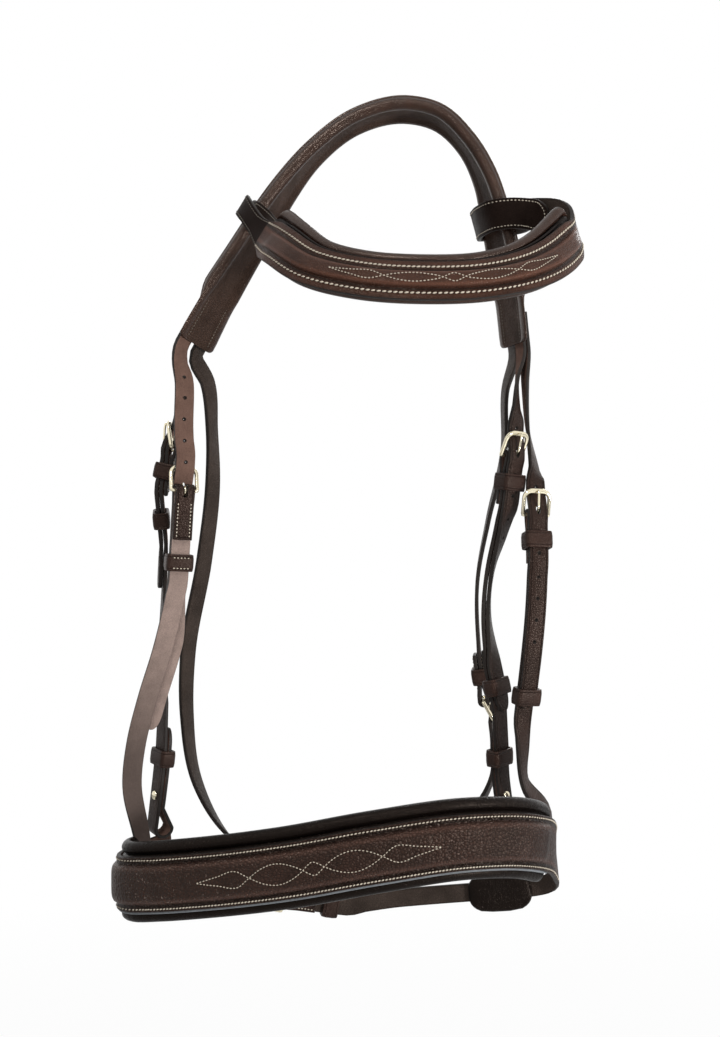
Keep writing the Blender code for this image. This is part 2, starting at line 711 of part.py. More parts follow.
def ring_rows(path, radii):
    """Rows of points round a closed flat path, for a bar of changing thickness."""
    rows, count = [], len(path)
    for i, (x, y) in enumerate(path):
        ahead, behind = path[(i + 1) % count], path[i - 1]
        way = Vector((ahead[0] - behind[0], ahead[1] - behind[1], 0.0)).normalized()
        side = Vector((way.y, -way.x, 0.0))
        wide, deep = radii[i]
        row = []
        for j in range(ROUND_SIDES):
            turn = 2 * math.pi * j / ROUND_SIDES
            row.append(Vector((x, y, 0.0)) + side * (wide * math.cos(turn))
                       + Vector((0.0, 0.0, deep * math.sin(turn))))
        rows.append(row)
    return rows


def make_buckle(name, route, bar, collection, finish):
    """A flat frame: round heel bar, straight sides, round shoulders and a broad rim."""
    half = BUCKLE_INNER_WIDTH / 2 + BUCKLE_RIM_RADIUS
    shoulder = BUCKLE_CORNER_RADIUS
    path, radii = [], []
    bar_size = (BUCKLE_BAR_RADIUS, BUCKLE_BAR_RADIUS)
    side_size = (BUCKLE_RIM_RADIUS, BUCKLE_RIM_RADIUS)
    rim_size = (BUCKLE_RIM_RADIUS * 1.35, BUCKLE_RIM_RADIUS)
    for share in (-0.8, 0.0, 0.8):
        path.append((0.0, half * share))
        radii.append(bar_size)
    path.append((BUCKLE_BAR_RADIUS * 0.35, half))
    radii.append(side_size)
    for share in (0.15, 0.6, 1.0):
        path.append(((BUCKLE_LENGTH - shoulder) * share, half))
        radii.append(side_size)
    for i in range(1, 4):
        turn = math.pi / 2 * i / 4
        path.append((BUCKLE_LENGTH - shoulder + shoulder * math.sin(turn),
                     half - shoulder + shoulder * math.cos(turn)))
        radii.append(side_size if i == 1 else rim_size)
    path.append((BUCKLE_LENGTH, half - shoulder))
    radii.append(rim_size)
    path.append((BUCKLE_LENGTH, 0.0))
    radii.append(rim_size)
    mirrored = [((x, -y), size) for (x, y), size in zip(path[3:-1], radii[3:-1])][::-1]
    path += [p for p, _ in mirrored]
    radii += [size for _, size in mirrored]
    matrix, axis = local_frame(route, bar)
    tilt = Matrix.Rotation(-BUCKLE_TILT, 4, "Y")
    rows = [[matrix @ tilt @ point for point in row] for row in ring_rows(path, radii)]
    return add_object(name, roll_sheet(rows, True), collection, finish, matrix.translation.copy(), axis)


def make_prong(name, route, bar, collection, finish):
    """A prong: an eye bent round the heel bar, a rise through the hole, then on to the rim."""
    eye = BAR_CLEAR + PRONG_RADIUS
    knee_height = OVER_BAR + STRAP_THICK + PRONG_RADIUS + FIT_GAP - BAR_HEIGHT
    knee_height -= (OVER_BAR - UNDER_RIM) * PRONG_KNEE_REACH / RIM_REACH
    tip_reach = RIM_REACH + BUCKLE_RIM_RADIUS * 0.4
    tip_height = RIM_HEIGHT - BAR_HEIGHT + (BUCKLE_RIM_RADIUS + FIT_GAP + PRONG_RADIUS) / math.cos(BUCKLE_TILT)
    path = []
    for i in range(8):
        turn = PRONG_LEAVE + PRONG_EYE_GAP + PRONG_EYE_TURN * (1 - i / 8)
        path.append((eye * math.cos(turn), eye * math.sin(turn)))
    path.append((eye * math.cos(PRONG_LEAVE), eye * math.sin(PRONG_LEAVE)))
    path.append((PRONG_KNEE_REACH * 0.5, (eye * math.sin(PRONG_LEAVE) + knee_height) * 0.56))
    path.append((PRONG_KNEE_REACH, knee_height))
    path.append((PRONG_KNEE_REACH * 1.5, knee_height + PRONG_RADIUS * 0.35))
    path.append((tip_reach - PRONG_RADIUS * 2, tip_height + PRONG_RADIUS * 0.3))
    path.append((tip_reach, tip_height - PRONG_RADIUS * 0.1))
    matrix, axis = local_frame(route, bar)
    rows = []
    for i, (x, z) in enumerate(path):
        ahead, behind = path[min(i + 1, len(path) - 1)], path[max(i - 1, 0)]
        way = Vector((ahead[0] - behind[0], 0.0, ahead[1] - behind[1])).normalized()
        up = Vector((-way.z, 0.0, way.x))
        radius = PRONG_RADIUS * (0.7 if i == len(path) - 1 else 1.0)
        row = []
        for j in range(6):
            turn = 2 * math.pi * j / 6
            row.append(matrix @ (Vector((x, radius * math.cos(turn), z)) + up * (radius * math.sin(turn))))
        rows.append(row)
    return add_object(name, roll_sheet(rows, False), collection, finish, matrix.translation.copy(), axis)


def make_stud(name, route, s, collection, finish):
    """A hook stud riveted through the cheekpiece, with its cap outside and its head inside."""
    outer = STRAP_THICK + FIT_GAP
    inner = -LAYER_GAP - STRAP_THICK - FIT_GAP
    profile = (
        (outer + STUD_CAP_THICK, STUD_CAP_RADIUS * 0.3),
        (outer + STUD_CAP_THICK * 0.8, STUD_CAP_RADIUS * 0.8),
        (outer, STUD_CAP_RADIUS),
        (outer, STUD_SHANK_RADIUS),
        (inner, STUD_SHANK_RADIUS),
        (inner, STUD_CAP_RADIUS * 0.9),
        (inner - STUD_CAP_THICK * 0.8, STUD_CAP_RADIUS * 0.75),
        (inner - STUD_CAP_THICK, STUD_CAP_RADIUS * 0.3),
    )
    point, along, side, out = route.frame(s)
    rows = []
    for height, radius in profile:
        row = []
        for j in range(10):
            turn = 2 * math.pi * j / 10
            reach = along * math.cos(turn) + side * math.sin(turn)
            row.append(point + out * height + reach * radius)
        rows.append(row)
    return add_object(name, roll_sheet(rows, False), collection, finish)


def half_profile(width, thick, roll, dip):
    """Half of a pad's section, from its lining's middle to its back's middle."""
    half = width / 2
    centre_t, centre_h = half - roll, thick / 2 + dip / 2
    found = [(0.0, 0.0), (centre_t * 0.55, 0.0), (centre_t - roll * 0.75, dip * 0.6)]
    for degrees in (-100, -65, -30, 5, 40, 75):
        turn = math.radians(degrees)
        reach = min(roll, thick / 2 + dip)
        found.append((centre_t + roll * math.cos(turn), centre_h + reach * math.sin(turn)))
    found.append((centre_t - roll * 0.75, thick * 0.96))
    found.append((centre_t * 0.5, thick))
    return found


def full_profile(half):
    return half + [(-t, h) for t, h in half[:0:-1]]


def pad_marks(start, end):
    """Places along a pad, two of them close to each end."""
    marks = spaced(start, end, STATION)
    ends = (marks[1] - marks[0]) / 3
    return [start, start + ends] + marks[1:-1] + [end - ends, end]


def pad_rows(route, marks, profile, squeeze):
    """Rows of a padded band's points, its ends drawn in and thinned."""
    start, end, ends = marks[0], marks[-1], marks[1] - marks[0]
    rows = []
    for s in marks:
        share = min(1.0, PAD_END_SHARE + (1 - PAD_END_SHARE) * min(s - start, end - s) / ends)
        rows.append([route.place(s, t * share, squeeze(s, h, share)) for t, h in profile])
    return rows


def keep_back(thick):
    """Thins a pad towards its back, which stays against the leather."""
    return lambda s, h, share: thick - (thick - h) * share


LEATHER = ("leather", (0.075, 0.042, 0.030), 0.55)
LINING = ("lining", (0.060, 0.048, 0.042), 0.60)
ROLL = ("lining", (0.018, 0.018, 0.018), 0.50)
KEEPER = ("leather", (0.095, 0.045, 0.034), 0.45)
METAL = ("metal", (0.86, 0.78, 0.58), 0.22, 1.0)


def make_crown(crown, parts):
    """The headpiece: a soft pad with rolled edges under a flat leather."""
    half = half_profile(CROWN_WIDTH, CROWN_PAD_THICK, CROWN_ROLL_RADIUS, -CROWN_ROLL_RADIUS * 0.25)
    profile = full_profile(half)
    pocket = CROWN_POCKET_LENGTH + POCKET_GAP

    def squeeze(s, h, share):
        reach = min(s, crown.length - s)
        full = smooth_step(reach, pocket * 1.3, pocket * 2)
        thin = CROWN_LINING_THICK + (CROWN_PAD_THICK - CROWN_LINING_THICK) * full
        return h * thin / CROWN_PAD_THICK

    marks = pad_marks(0.0, crown.length)
    bm = roll_sheet(pad_rows(crown, marks, profile, squeeze), False)
    for vertex in bm.verts:
        if abs(vertex.co.x) < CROWN_SEAT_LENGTH and abs(vertex.co.z) < CROWN_LINING_THICK / 2:
            if abs(vertex.co.y) < CROWN_WIDTH * 0.3:
                vertex.co.z = 0.0
    add_object("crown_pad", bm, parts, LINING)

    base = CROWN_PAD_THICK + LAYER_GAP
    end = CROWN_POCKET_LENGTH + FIT_GAP
    inside = [s for s in marks if end + STATION / 3 < s < crown.length - end - STATION / 3]
    lay = Lay([(s, base) for s in [end] + inside + [crown.length - end]])
    columns = (-CROWN_COVER_WIDTH / 2, 0.0, CROWN_COVER_WIDTH / 2)
    bm = cut_strap(lay, columns, lambda u: 1.0)
    lay_strap(bm, lay, crown, CROWN_COVER_THICK)
    add_object("crown_leather", bm, parts, LEATHER)


def loop_seats(crown, spot, shares):
    """Places and facings of a browband's loop about the headpiece, from a table of shares."""
    s = crown.nearest(spot)
    point, _, side, out = crown.frame(s)
    found = []
    for across, height, down, degrees in shares:
        turn = math.radians(degrees)
        place = point + (side * across + out * height) * CROWN_WIDTH
        place.z -= down * CROWN_WIDTH
        found.append((place, side * math.cos(turn) + out * math.sin(turn)))
    return found


def brow_route(crown):
    """The browband's route, from its sewn patch by the left leg to its patch by the right leg."""
    left = loop_seats(crown, BROW_LEFT_SPOT, BROW_LEFT_LOOP_SHARES)
    right = loop_seats(crown, BROW_RIGHT_SPOT, BROW_RIGHT_LOOP_SHARES)
    return Route(left + places(BROW_ROUTE_SHARES) + right[::-1])


def make_browband(route, parts):
    """The browband: a raised leather looped round the headpiece at each end, on a rolled pad."""
    first = route.nearest(places(BROW_ROUTE_SHARES)[0][0]) + BROW_PATCH_CLEAR
    last = route.nearest(places(BROW_ROUTE_SHARES)[-1][0]) - BROW_PATCH_CLEAR
    marks = pad_marks(first, last)
    left, right = spaced(0.0, first, BROW_LOOP_STATION), spaced(last, route.length, BROW_LOOP_STATION)
    path = left[:-1] + marks + right[1:]
    lay = Lay(with_tip_rows(with_tip_rows([(s, 0.0) for s in path], False, True), True, False))
    half, inner = BROW_LEATHER_WIDTH / 2, BROW_RAISE_WIDTH / 2
    bm = cut_strap(lay, (-half, -inner, inner, half), tip_width(lay.length, True, True))
    made = bmesh.ops.extrude_face_region(bm, geom=bm.faces[:], use_keep_orig=True)
    for item in made["geom"]:
        if isinstance(item, bmesh.types.BMVert):
            item.co.z = BROW_LEATHER_THICK
    for vertex in bm.verts:
        s, across, height = vertex.co
        full = smooth_step(min(s - first, last - s), 0.0, BROW_LEATHER_WIDTH)
        if height > 0 and abs(across) < inner + TINY:
            height += BROW_RAISE * full
        vertex.co = route.place(s, across, height)
    add_object("browband_leather", bm, parts, LEATHER)

    half = half_profile(BROW_PAD_WIDTH, BROW_PAD_THICK, BROW_ROLL_RADIUS, -BROW_ROLL_RADIUS * 0.3)
    base = -BROW_PAD_THICK - POCKET_GAP
    profile = [(t + BROW_PAD_RISE, base + h) for t, h in full_profile(half)]
    rows = pad_rows(route, marks, profile, lambda s, h, share: -POCKET_GAP + (h + POCKET_GAP) * share)
    add_object("browband_pad", roll_sheet(rows, False), parts, ROLL)


def make_noseband(route, parts):
    """The noseband: a wide raised leather on a pad with a roll above and below."""
    base = NOSE_PAD_THICK + LAYER_GAP
    half, inner = NOSE_LEATHER_WIDTH / 2, NOSE_RAISE_WIDTH / 2
    columns = (-half, -inner * 1.3, -inner, -inner * 0.5, inner * 0.5, inner, inner * 1.3, half)
    start = NOSE_SEAM_LENGTH + STRAP_WIDTH + KEEPER_SLACK * 3
    marks = pad_marks(start, route.length - start)
    ends = spaced(0.0, start, STATION)[:-1]
    path = ends + marks + [route.length - s for s in ends[::-1]]
    lay = Lay([(s, base) for s in path])
    bm = cut_strap(lay, columns, lambda u: 1.0)
    clear = NOSE_SEAM_LENGTH * 2

    def lift(u, across):
        along = smooth_step(min(u, route.length - u), clear, clear * 1.35)
        if abs(across) > inner + TINY:
            return 0.0
        crown_share = 1.0 if abs(across) < inner * 0.75 else 0.75
        return NOSE_RAISE * along * crown_share

    made = bmesh.ops.extrude_face_region(bm, geom=bm.faces[:], use_keep_orig=True)
    for item in made["geom"]:
        if isinstance(item, bmesh.types.BMVert):
            item.co.z = NOSE_LEATHER_THICK
    for vertex in bm.verts:
        u, across, thick = vertex.co
        s, h = lay.read(u, thick)
        vertex.co = route.place(s, across, h + (lift(u, across) if thick > 0 else 0.0))
    add_object("noseband_leather", bm, parts, LEATHER)

    half = half_profile(NOSE_PAD_WIDTH, NOSE_PAD_THICK, NOSE_ROLL_RADIUS, -NOSE_ROLL_RADIUS * 0.3)
    profile = [(t + NOSE_PAD_RISE, h) for t, h in full_profile(half)]
    rows = pad_rows(route, marks, profile, keep_back(NOSE_PAD_THICK))
    add_object("noseband_pad", roll_sheet(rows, False), parts, ROLL)


def crown_seats(crown, side, across, sewn_outside):
    """Seats for a strap sewn to one end of the headpiece, top first, on its leather or its lining."""
    height = CROWN_LINING_THICK + POCKET_GAP / 2
    if sewn_outside:
        height = CROWN_PAD_THICK + FIT_GAP
    found = []
    for share in (1.0, 0.5, 0.0, -0.2):
        s = CROWN_POCKET_LENGTH * share
        found.append(crown.seat(s if side < 0 else crown.length - s, across, height))
    return found


def nose_seats(route, s):
    """Seats for a hanger's tab down the inside of the noseband's leather."""
    height = NOSE_PAD_THICK - STRAP_THICK - LAYER_GAP
    top = NOSE_LEATHER_WIDTH / 2
    return [route.seat(s, across, height) for across in (top * 1.25, top * 0.4, -NOSE_TAB_DROP)]


def chin_route(nose):
    height = NOSE_PAD_THICK - STRAP_THICK - FIT_GAP
    inside = NOSE_SEAM_LENGTH
    first = [nose.seat(inside * share, 0.0, height) for share in (1.0, 0.5, 0.0, -0.3)]
    last = [nose.seat(nose.length - inside * share, 0.0, height) for share in (-0.3, 0.0, 0.5, 1.0)]
    return Route(first + places(CHIN_BEHIND_SHARES) + last)


def make_chin_pad(route, parts):
    """A soft pad sewn inside the chin strap, near its end on the right."""
    start, end = (route.length * share for share in CHIN_PAD_PLACE_SHARES)
    half = half_profile(CHIN_PAD_WIDTH, CHIN_PAD_THICK, CHIN_PAD_ROLL_RADIUS, -CHIN_PAD_ROLL_RADIUS * 0.3)
    base = -CHIN_PAD_THICK - LAYER_GAP
    profile = [(t, base + h) for t, h in full_profile(half)]
    marks = pad_marks(start, end)
    rows = pad_rows(route, marks, profile, lambda s, h, share: -LAYER_GAP + (h + LAYER_GAP) * share)
    add_object("chin_pad", roll_sheet(rows, False), parts, ROLL)


def make_run(name, route, bar_share, keepers, parts):
    """Buckle and prong of one run; the bar's place along the route comes back."""
    bar = route.length * bar_share
    near = [keeper[1] for keeper in keepers if keeper[1] < BUCKLE_LENGTH * 3]
    last = max([FIRST_KEEPER_PLACE] + near)
    reach = KEEPER_WIDTH / 2 + RUNNER_SLIDE
    route.straighten(bar - BUCKLE_LENGTH * 1.15, bar + last + reach, BUCKLE_LENGTH)
    for keeper in keepers:
        if keeper[1] > BUCKLE_LENGTH * 3:
            clear = reach + RUNNER_SLIDE
            route.straighten(bar + keeper[1] - clear, bar + keeper[1] + clear, BUCKLE_LENGTH)
    make_buckle(f"{name}_buckle", route, bar, parts, METAL)
    make_prong(f"{name}_prong", route, bar, parts, METAL)
    for label, place, low, high, centre, across in keepers:
        make_keeper(f"{name}_{label}", route, bar + place, low, high, across, parts, KEEPER, centre)
    return bar


def main():
    for item in list(bpy.data.objects):
        bpy.data.objects.remove(item, do_unlink=True)
    parts = bpy.data.collections.new("hunter_bridle")
    bpy.context.scene.collection.children.link(parts)

    crown = Route(places(CROWN_ROUTE_SHARES))
    make_crown(crown, parts)
    make_browband(brow_route(crown), parts)
    nose = Route(places(NOSE_ROUTE_SHARES))
    make_noseband(nose, parts)

    tab_place = NOSE_SEAM_LENGTH + STRAP_WIDTH / 2 + KEEPER_SLACK
    runs = {
        "cheek_left": Route(crown_seats(crown, -1, FRONT_STRAP_OFFSET, True) + places(CHEEK_LEFT_SHARES)),
        "cheek_right": Route(crown_seats(crown, 1, POCKET_STRAP_OFFSET / 2, False)
                             + places(CHEEK_RIGHT_SHARES)),
        "nose_left": Route(crown_seats(crown, -1, POCKET_STRAP_OFFSET, False) + places(NOSE_LEFT_SHARES)
                           + nose_seats(nose, tab_place)),
        "nose_right": Route(crown_seats(crown, 1, FRONT_STRAP_OFFSET, True) + places(NOSE_RIGHT_SHARES)
                            + nose_seats(nose, nose.length - tab_place)),
        "throat": Route(crown_seats(crown, -1, REAR_STRAP_OFFSET, True) + places(THROAT_SHARES)
                        + crown_seats(crown, 1, REAR_STRAP_OFFSET, True)[::-1]),
        "chin": chin_route(nose),
    }
    stack_low = -LAYER_GAP - STRAP_THICK
    stack_high = OVER_STRAP + STRAP_THICK
    full = ("keeper", FIRST_KEEPER_PLACE, stack_low, stack_high, 0.0, STRAP_WIDTH)

    route = runs["cheek_left"]
    runner = ("runner", CHEEK_LEFT_RUNNER_PLACE, 0.0, stack_high, 0.0, STRAP_WIDTH)
    bar = make_run("cheek_left", route, CHEEK_LEFT_BAR_SHARE, [full, runner], parts)
    make_billet("cheek_left_billet", route, 0.0, bar, CHEEK_LEFT_TAIL, 3, 3, parts, LEATHER)
    make_cheekpiece("cheek_left_strap", route, bar, route.length, parts, LEATHER)
    make_keeper("bit_left_keeper", route, route.length - BIT_KEEPER_PLACE, stack_low, STRAP_THICK,
                STRAP_WIDTH, parts, KEEPER)
    make_stud("bit_left_stud", route, route.length - STUD_PLACE, parts, METAL)

    route = runs["cheek_right"]
    runner = ("runner", CHEEK_RIGHT_RUNNER_PLACE, 0.0, stack_high, 0.0, STRAP_WIDTH)
    bar = make_run("cheek_right", route, CHEEK_RIGHT_BAR_SHARE, [full, runner], parts)
    make_billet("cheek_right_billet", route, 0.0, bar, CHEEK_RIGHT_TAIL, 2, 6, parts, LEATHER)
    make_cheekpiece("cheek_right_strap", route, bar, route.length, parts, LEATHER)
    make_keeper("bit_right_keeper", route, route.length - BIT_KEEPER_PLACE, stack_low, STRAP_THICK,
                STRAP_WIDTH, parts, KEEPER)
    make_stud("bit_right_stud", route, route.length - STUD_PLACE, parts, METAL)

    route = runs["nose_left"]
    wide = ("keeper", NOSE_LEFT_KEEPER_PLACE, 0.0, stack_high, 0.0, STRAP_WIDTH)
    bar = make_run("nose_left", route, NOSE_LEFT_BAR_SHARE, [wide], parts)

    def drift(s):
        return -NOSE_LEFT_DRIFT * smooth_step(s, bar + NOSE_LEFT_KEEPER_PLACE + KEEPER_WIDTH,
                                              bar + NOSE_LEFT_KEEPER_PLACE + KEEPER_WIDTH * 5)

    make_billet("nose_left_billet", route, 0.0, bar, NOSE_LEFT_TAIL, 5, 3, parts, LEATHER, drift)
    make_folded_strap("nose_left_hanger", route, bar, route.length, parts, LEATHER)

    route = runs["nose_right"]
    runner = ("runner", NOSE_RIGHT_RUNNER_PLACE, 0.0, stack_high, 0.0, STRAP_WIDTH)
    bar = make_run("nose_right", route, NOSE_RIGHT_BAR_SHARE, [full, runner], parts)
    make_billet("nose_right_billet", route, 0.0, bar, NOSE_RIGHT_TAIL, 1, 6, parts, LEATHER)
    make_folded_strap("nose_right_hanger", route, bar, route.length, parts, LEATHER)

    route = runs["throat"]
    bar = make_run("throat", route, THROAT_BAR_SHARE, [full], parts)
    make_billet("throatlatch", route, 0.0, bar, THROAT_TAIL, 4, 0, parts, LEATHER)
    make_folded_strap("throat_strap", route, bar, route.length, parts, LEATHER)

    route = runs["chin"]
    runner = ("runner", CHIN_RUNNER_PLACE, 0.0, stack_high, 0.0, STRAP_WIDTH)
    bar = make_run("chin", route, CHIN_BAR_SHARE, [runner], parts)
    make_billet("chin_billet", route, 0.0, bar, CHIN_TAIL, 2, 1, parts, LEATHER)
    make_folded_strap("chin_strap", route, bar, route.length, parts, LEATHER, CHIN_FOLD_LENGTH)
    make_chin_pad(route, parts)


main()
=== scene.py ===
import math

import bmesh
import bpy
import numpy as np
from mathutils import Matrix, Vector


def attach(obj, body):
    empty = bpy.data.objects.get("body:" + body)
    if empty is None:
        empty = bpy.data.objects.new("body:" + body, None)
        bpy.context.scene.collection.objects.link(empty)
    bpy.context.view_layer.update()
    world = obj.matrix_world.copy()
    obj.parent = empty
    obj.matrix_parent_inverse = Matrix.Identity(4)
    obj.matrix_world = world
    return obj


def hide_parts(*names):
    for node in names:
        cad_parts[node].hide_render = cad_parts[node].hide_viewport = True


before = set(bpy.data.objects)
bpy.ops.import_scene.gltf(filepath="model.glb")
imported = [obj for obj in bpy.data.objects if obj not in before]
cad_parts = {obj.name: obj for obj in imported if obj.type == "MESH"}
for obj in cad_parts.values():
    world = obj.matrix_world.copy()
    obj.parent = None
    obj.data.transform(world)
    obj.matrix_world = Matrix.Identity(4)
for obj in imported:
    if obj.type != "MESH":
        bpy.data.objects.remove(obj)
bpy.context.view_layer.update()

bl_info = {
    "name": "Hunter Bridle",
    "version": (1, 0, 0),
    "blender": (4, 5, 0),
    "location": "View3D > Sidebar > Bridle",
    "description": "Dresses the hanging hunter bridle in its leather, stitching and buckles",
    "category": "Object",
}

LEATHERWORK = "bridle_leatherwork"

# Overall sizes of the hanging bridle, in metres
HEAD_WIDTH = 0.200
BROW_REACH = 0.100
HANG_DROP = 0.500

# Fits
FIT_GAP = 0.00035
LAYER_GAP = 0.0005
KEEPER_GAP = 0.0006
POCKET_GAP = 0.0008
TINY = 0.000001

# Strap leather
STRAP_WIDTH = 0.0127
STRAP_THICK = 0.0026
TIP_LENGTH = 0.012
FOLD_LENGTH = 0.032
CHIN_FOLD_LENGTH = 0.023
FOLD_SLOT_WIDTH = 0.0030
FOLD_SLOT_REACH = 0.0040

# Headpiece
CROWN_WIDTH = 0.043
CROWN_COVER_WIDTH = 0.0365
CROWN_COVER_THICK = 0.0027
CROWN_PAD_THICK = 0.0045
CROWN_POCKET_LENGTH = 0.020
CROWN_LINING_THICK = 0.0014
FRONT_STRAP_OFFSET = -0.0050
REAR_STRAP_OFFSET = 0.0135
POCKET_STRAP_OFFSET = -0.0105
PAD_END_SHARE = 0.72

# Browband
BROW_LEATHER_WIDTH = 0.0200
BROW_LEATHER_THICK = 0.0026
BROW_RAISE = 0.0030
BROW_RAISE_WIDTH = 0.0110
BROW_PAD_WIDTH = 0.0335
BROW_PAD_RISE = 0.0052
BROW_PAD_THICK = 0.0060
BROW_ROLL_RADIUS = 0.0036
BROW_PATCH_CLEAR = 0.0020

# Noseband
NOSE_LEATHER_WIDTH = 0.0345
NOSE_LEATHER_THICK = 0.0028
NOSE_RAISE = 0.0040
NOSE_RAISE_WIDTH = 0.0250
NOSE_PAD_WIDTH = 0.0510
NOSE_PAD_RISE = 0.0024
NOSE_PAD_THICK = 0.0075
NOSE_ROLL_RADIUS = 0.0044
NOSE_SEAM_LENGTH = 0.020
NOSE_TAB_DROP = 0.012

# Chin strap
CHIN_PAD_WIDTH = 0.0270
CHIN_PAD_THICK = 0.0050
CHIN_PAD_ROLL_RADIUS = 0.0026
CHIN_PAD_PLACE_SHARES = (0.655, 0.790)

# Buckles and prongs
BUCKLE_LENGTH = 0.0158
BUCKLE_INNER_WIDTH = 0.0145
BUCKLE_BAR_RADIUS = 0.0012
BUCKLE_RIM_RADIUS = 0.0013
BUCKLE_CORNER_RADIUS = 0.0050
BUCKLE_TILT = math.radians(20.0)
PRONG_RADIUS = 0.0008
PRONG_KNEE_REACH = 0.0042

# Billet holes
HOLE_PITCH = 0.0140
WORN_HOLE_HALF_LENGTH = 0.0030
WORN_HOLE_HALF_WIDTH = 0.0016
HOLE_SHOWN_RADIUS = 0.0013
HOLE_PINCH = 0.14

# Keepers and hook studs
KEEPER_WIDTH = 0.0110
KEEPER_THICK = 0.0018
KEEPER_SLACK = 0.0008
RUNNER_SLIDE = 0.0030
BIT_LOOP_RADIUS = 0.0045
BIT_TAIL_LENGTH = 0.072
STUD_SHANK_RADIUS = 0.0011
STUD_CAP_RADIUS = 0.0030
STUD_CAP_THICK = 0.0012

# Places along each route: across, forward or back, and down, as shares of the overall sizes,
# then the way the grain side faces: its compass angle and its lift, in degrees
CROWN_ROUTE_SHARES = (
    (-0.690, 0.000, -0.305, 155, 0),
    (-0.610, 0.000, -0.246, 159, 4),
    (-0.534, 0.000, -0.196, 163, 9),
    (-0.464, 0.000, -0.151, 165, 16),
    (-0.386, 0.000, -0.103, 170, 30),
    (-0.290, 0.000, -0.056, 176, 50),
    (-0.155, 0.000, -0.015, 180, 73),
    (0.000, 0.000, 0.000, 0, 90),
    (0.105, 0.000, -0.010, 0, 78),
    (0.190, 0.000, -0.042, 0, 55),
    (0.252, 0.000, -0.088, 6, 28),
    (0.284, 0.000, -0.135, 12, 12),
    (0.312, 0.000, -0.185, 16, 4),
    (0.338, 0.000, -0.240, 18, 0),
    (0.356, 0.000, -0.305, 18, 0),
)
BROW_ROUTE_SHARES = (
    (-0.446, -0.56, -0.180, 214, 20),
    (-0.388, -0.79, -0.205, 236, 24),
    (-0.300, -1.00, -0.234, 252, 25),
    (-0.150, -1.15, -0.253, 264, 25),
    (0.040, -1.21, -0.260, 270, 25),
    (0.225, -1.15, -0.255, 278, 25),
    (0.375, -0.98, -0.236, 294, 24),
    (0.475, -0.75, -0.206, 320, 22),
    (0.520, -0.54, -0.176, 348, 16),
)
# The browband's loops, from the sewn patch inside it round to its front: shares of the
# headpiece's width across it and out of it, of that width down it, and the facing in degrees
BROW_LEFT_LOOP_SHARES = (
    (-0.98, -0.005, 0.04, -72),
    (-0.80, 0.040, 0.02, -84),
    (-0.64, 0.010, 0.00, -96),
    (-0.46, -0.060, 0.00, -90),
    (0.00, -0.075, 0.00, -90),
    (0.44, -0.060, 0.00, -80),
    (0.580, 0.070, 0.00, 0),
    (0.45, 0.205, 0.00, 75),
    (0.00, 0.207, 0.00, 90),
    (-0.46, 0.200, 0.00, 90),
    (-0.82, 0.110, 0.02, 104),
)
BROW_RIGHT_LOOP_SHARES = (
    (-0.945, 0.615, 0.26, -123),
    (-0.815, 0.500, 0.21, -132),
    (-0.725, 0.350, 0.14, -160),
    (-0.670, 0.110, 0.07, -176),
    (-0.540, -0.120, 0.02, -145),
    (-0.230, -0.220, 0.00, -100),
    (0.160, -0.180, -0.02, -82),
    (0.480, -0.080, -0.05, -40),
    (0.640, 0.130, -0.06, 10),
    (0.480, 0.360, -0.04, 45),
    (0.060, 0.460, 0.03, 88),
    (-0.400, 0.450, 0.08, 90),
    (-0.720, 0.520, 0.16, 52),
    (-0.930, 0.670, 0.25, 56),
)
NOSE_ROUTE_SHARES = (
    (-0.752, 0.24, -0.996, 143, 0),
    (-0.810, 0.10, -1.000, 143, 0),
    (-0.866, -0.04, -1.005, 145, 0),
    (-0.885, -0.14, -1.007, 180, 0),
    (-0.867, -0.25, -1.005, 216, 0),
    (-0.793, -0.36, -0.999, 244, 0),
    (-0.650, -0.48, -0.989, 260, 0),
    (-0.370, -0.63, -0.969, 266, 0),
    (-0.100, -0.69, -0.947, 272, 0),
    (0.170, -0.60, -0.935, 284, 0),
    (0.350, -0.37, -0.944, 308, 0),
    (0.432, -0.08, -0.966, 342, 0),
    (0.460, 0.18, -0.996, 4, 0),
)
CHIN_BEHIND_SHARES = (
    (-0.620, 0.38, -1.030, 94, 0),
    (-0.320, 0.55, -1.075, 90, 0),
    (0.000, 0.58, -1.064, 90, 0),
    (0.290, 0.56, -1.054, 88, 0),
    (0.400, 0.54, -1.050, 84, 0),
    (0.500, 0.46, -1.038, 52, 0),
)
CHEEK_LEFT_SHARES = (
    (-0.722, -0.04, -0.354, 160, 0),
    (-0.744, -0.04, -0.405, 166, 0),
    (-0.776, -0.04, -0.450, 178, 0),
    (-0.790, -0.04, -0.500, 184, 0),
    (-0.785, 0.02, -0.560, 188, 0),
    (-0.795, 0.09, -0.640, 194, 0),
    (-0.805, 0.12, -0.723, 204, 0),
    (-0.800, 0.13, -0.812, 214, 0),
    (-0.812, 0.14, -0.862, 216, 0),
    (-0.842, 0.18, -0.956, 212, 0),
)
CHEEK_RIGHT_SHARES = (
    (0.360, -0.07, -0.354, 356, 0),
    (0.354, -0.12, -0.412, 328, 0),
    (0.346, -0.14, -0.460, 306, 0),
    (0.330, -0.11, -0.506, 306, 0),
    (0.300, -0.04, -0.552, 330, 0),
    (0.268, 0.00, -0.598, 350, 0),
    (0.254, 0.00, -0.664, 350, 0),
    (0.277, -0.02, -0.727, 326, 0),
    (0.305, -0.03, -0.783, 308, 0),
    (0.312, 0.00, -0.826, 312, 0),
    (0.316, 0.02, -0.867, 316, 0),
    (0.345, 0.03, -0.952, 320, 0),
)
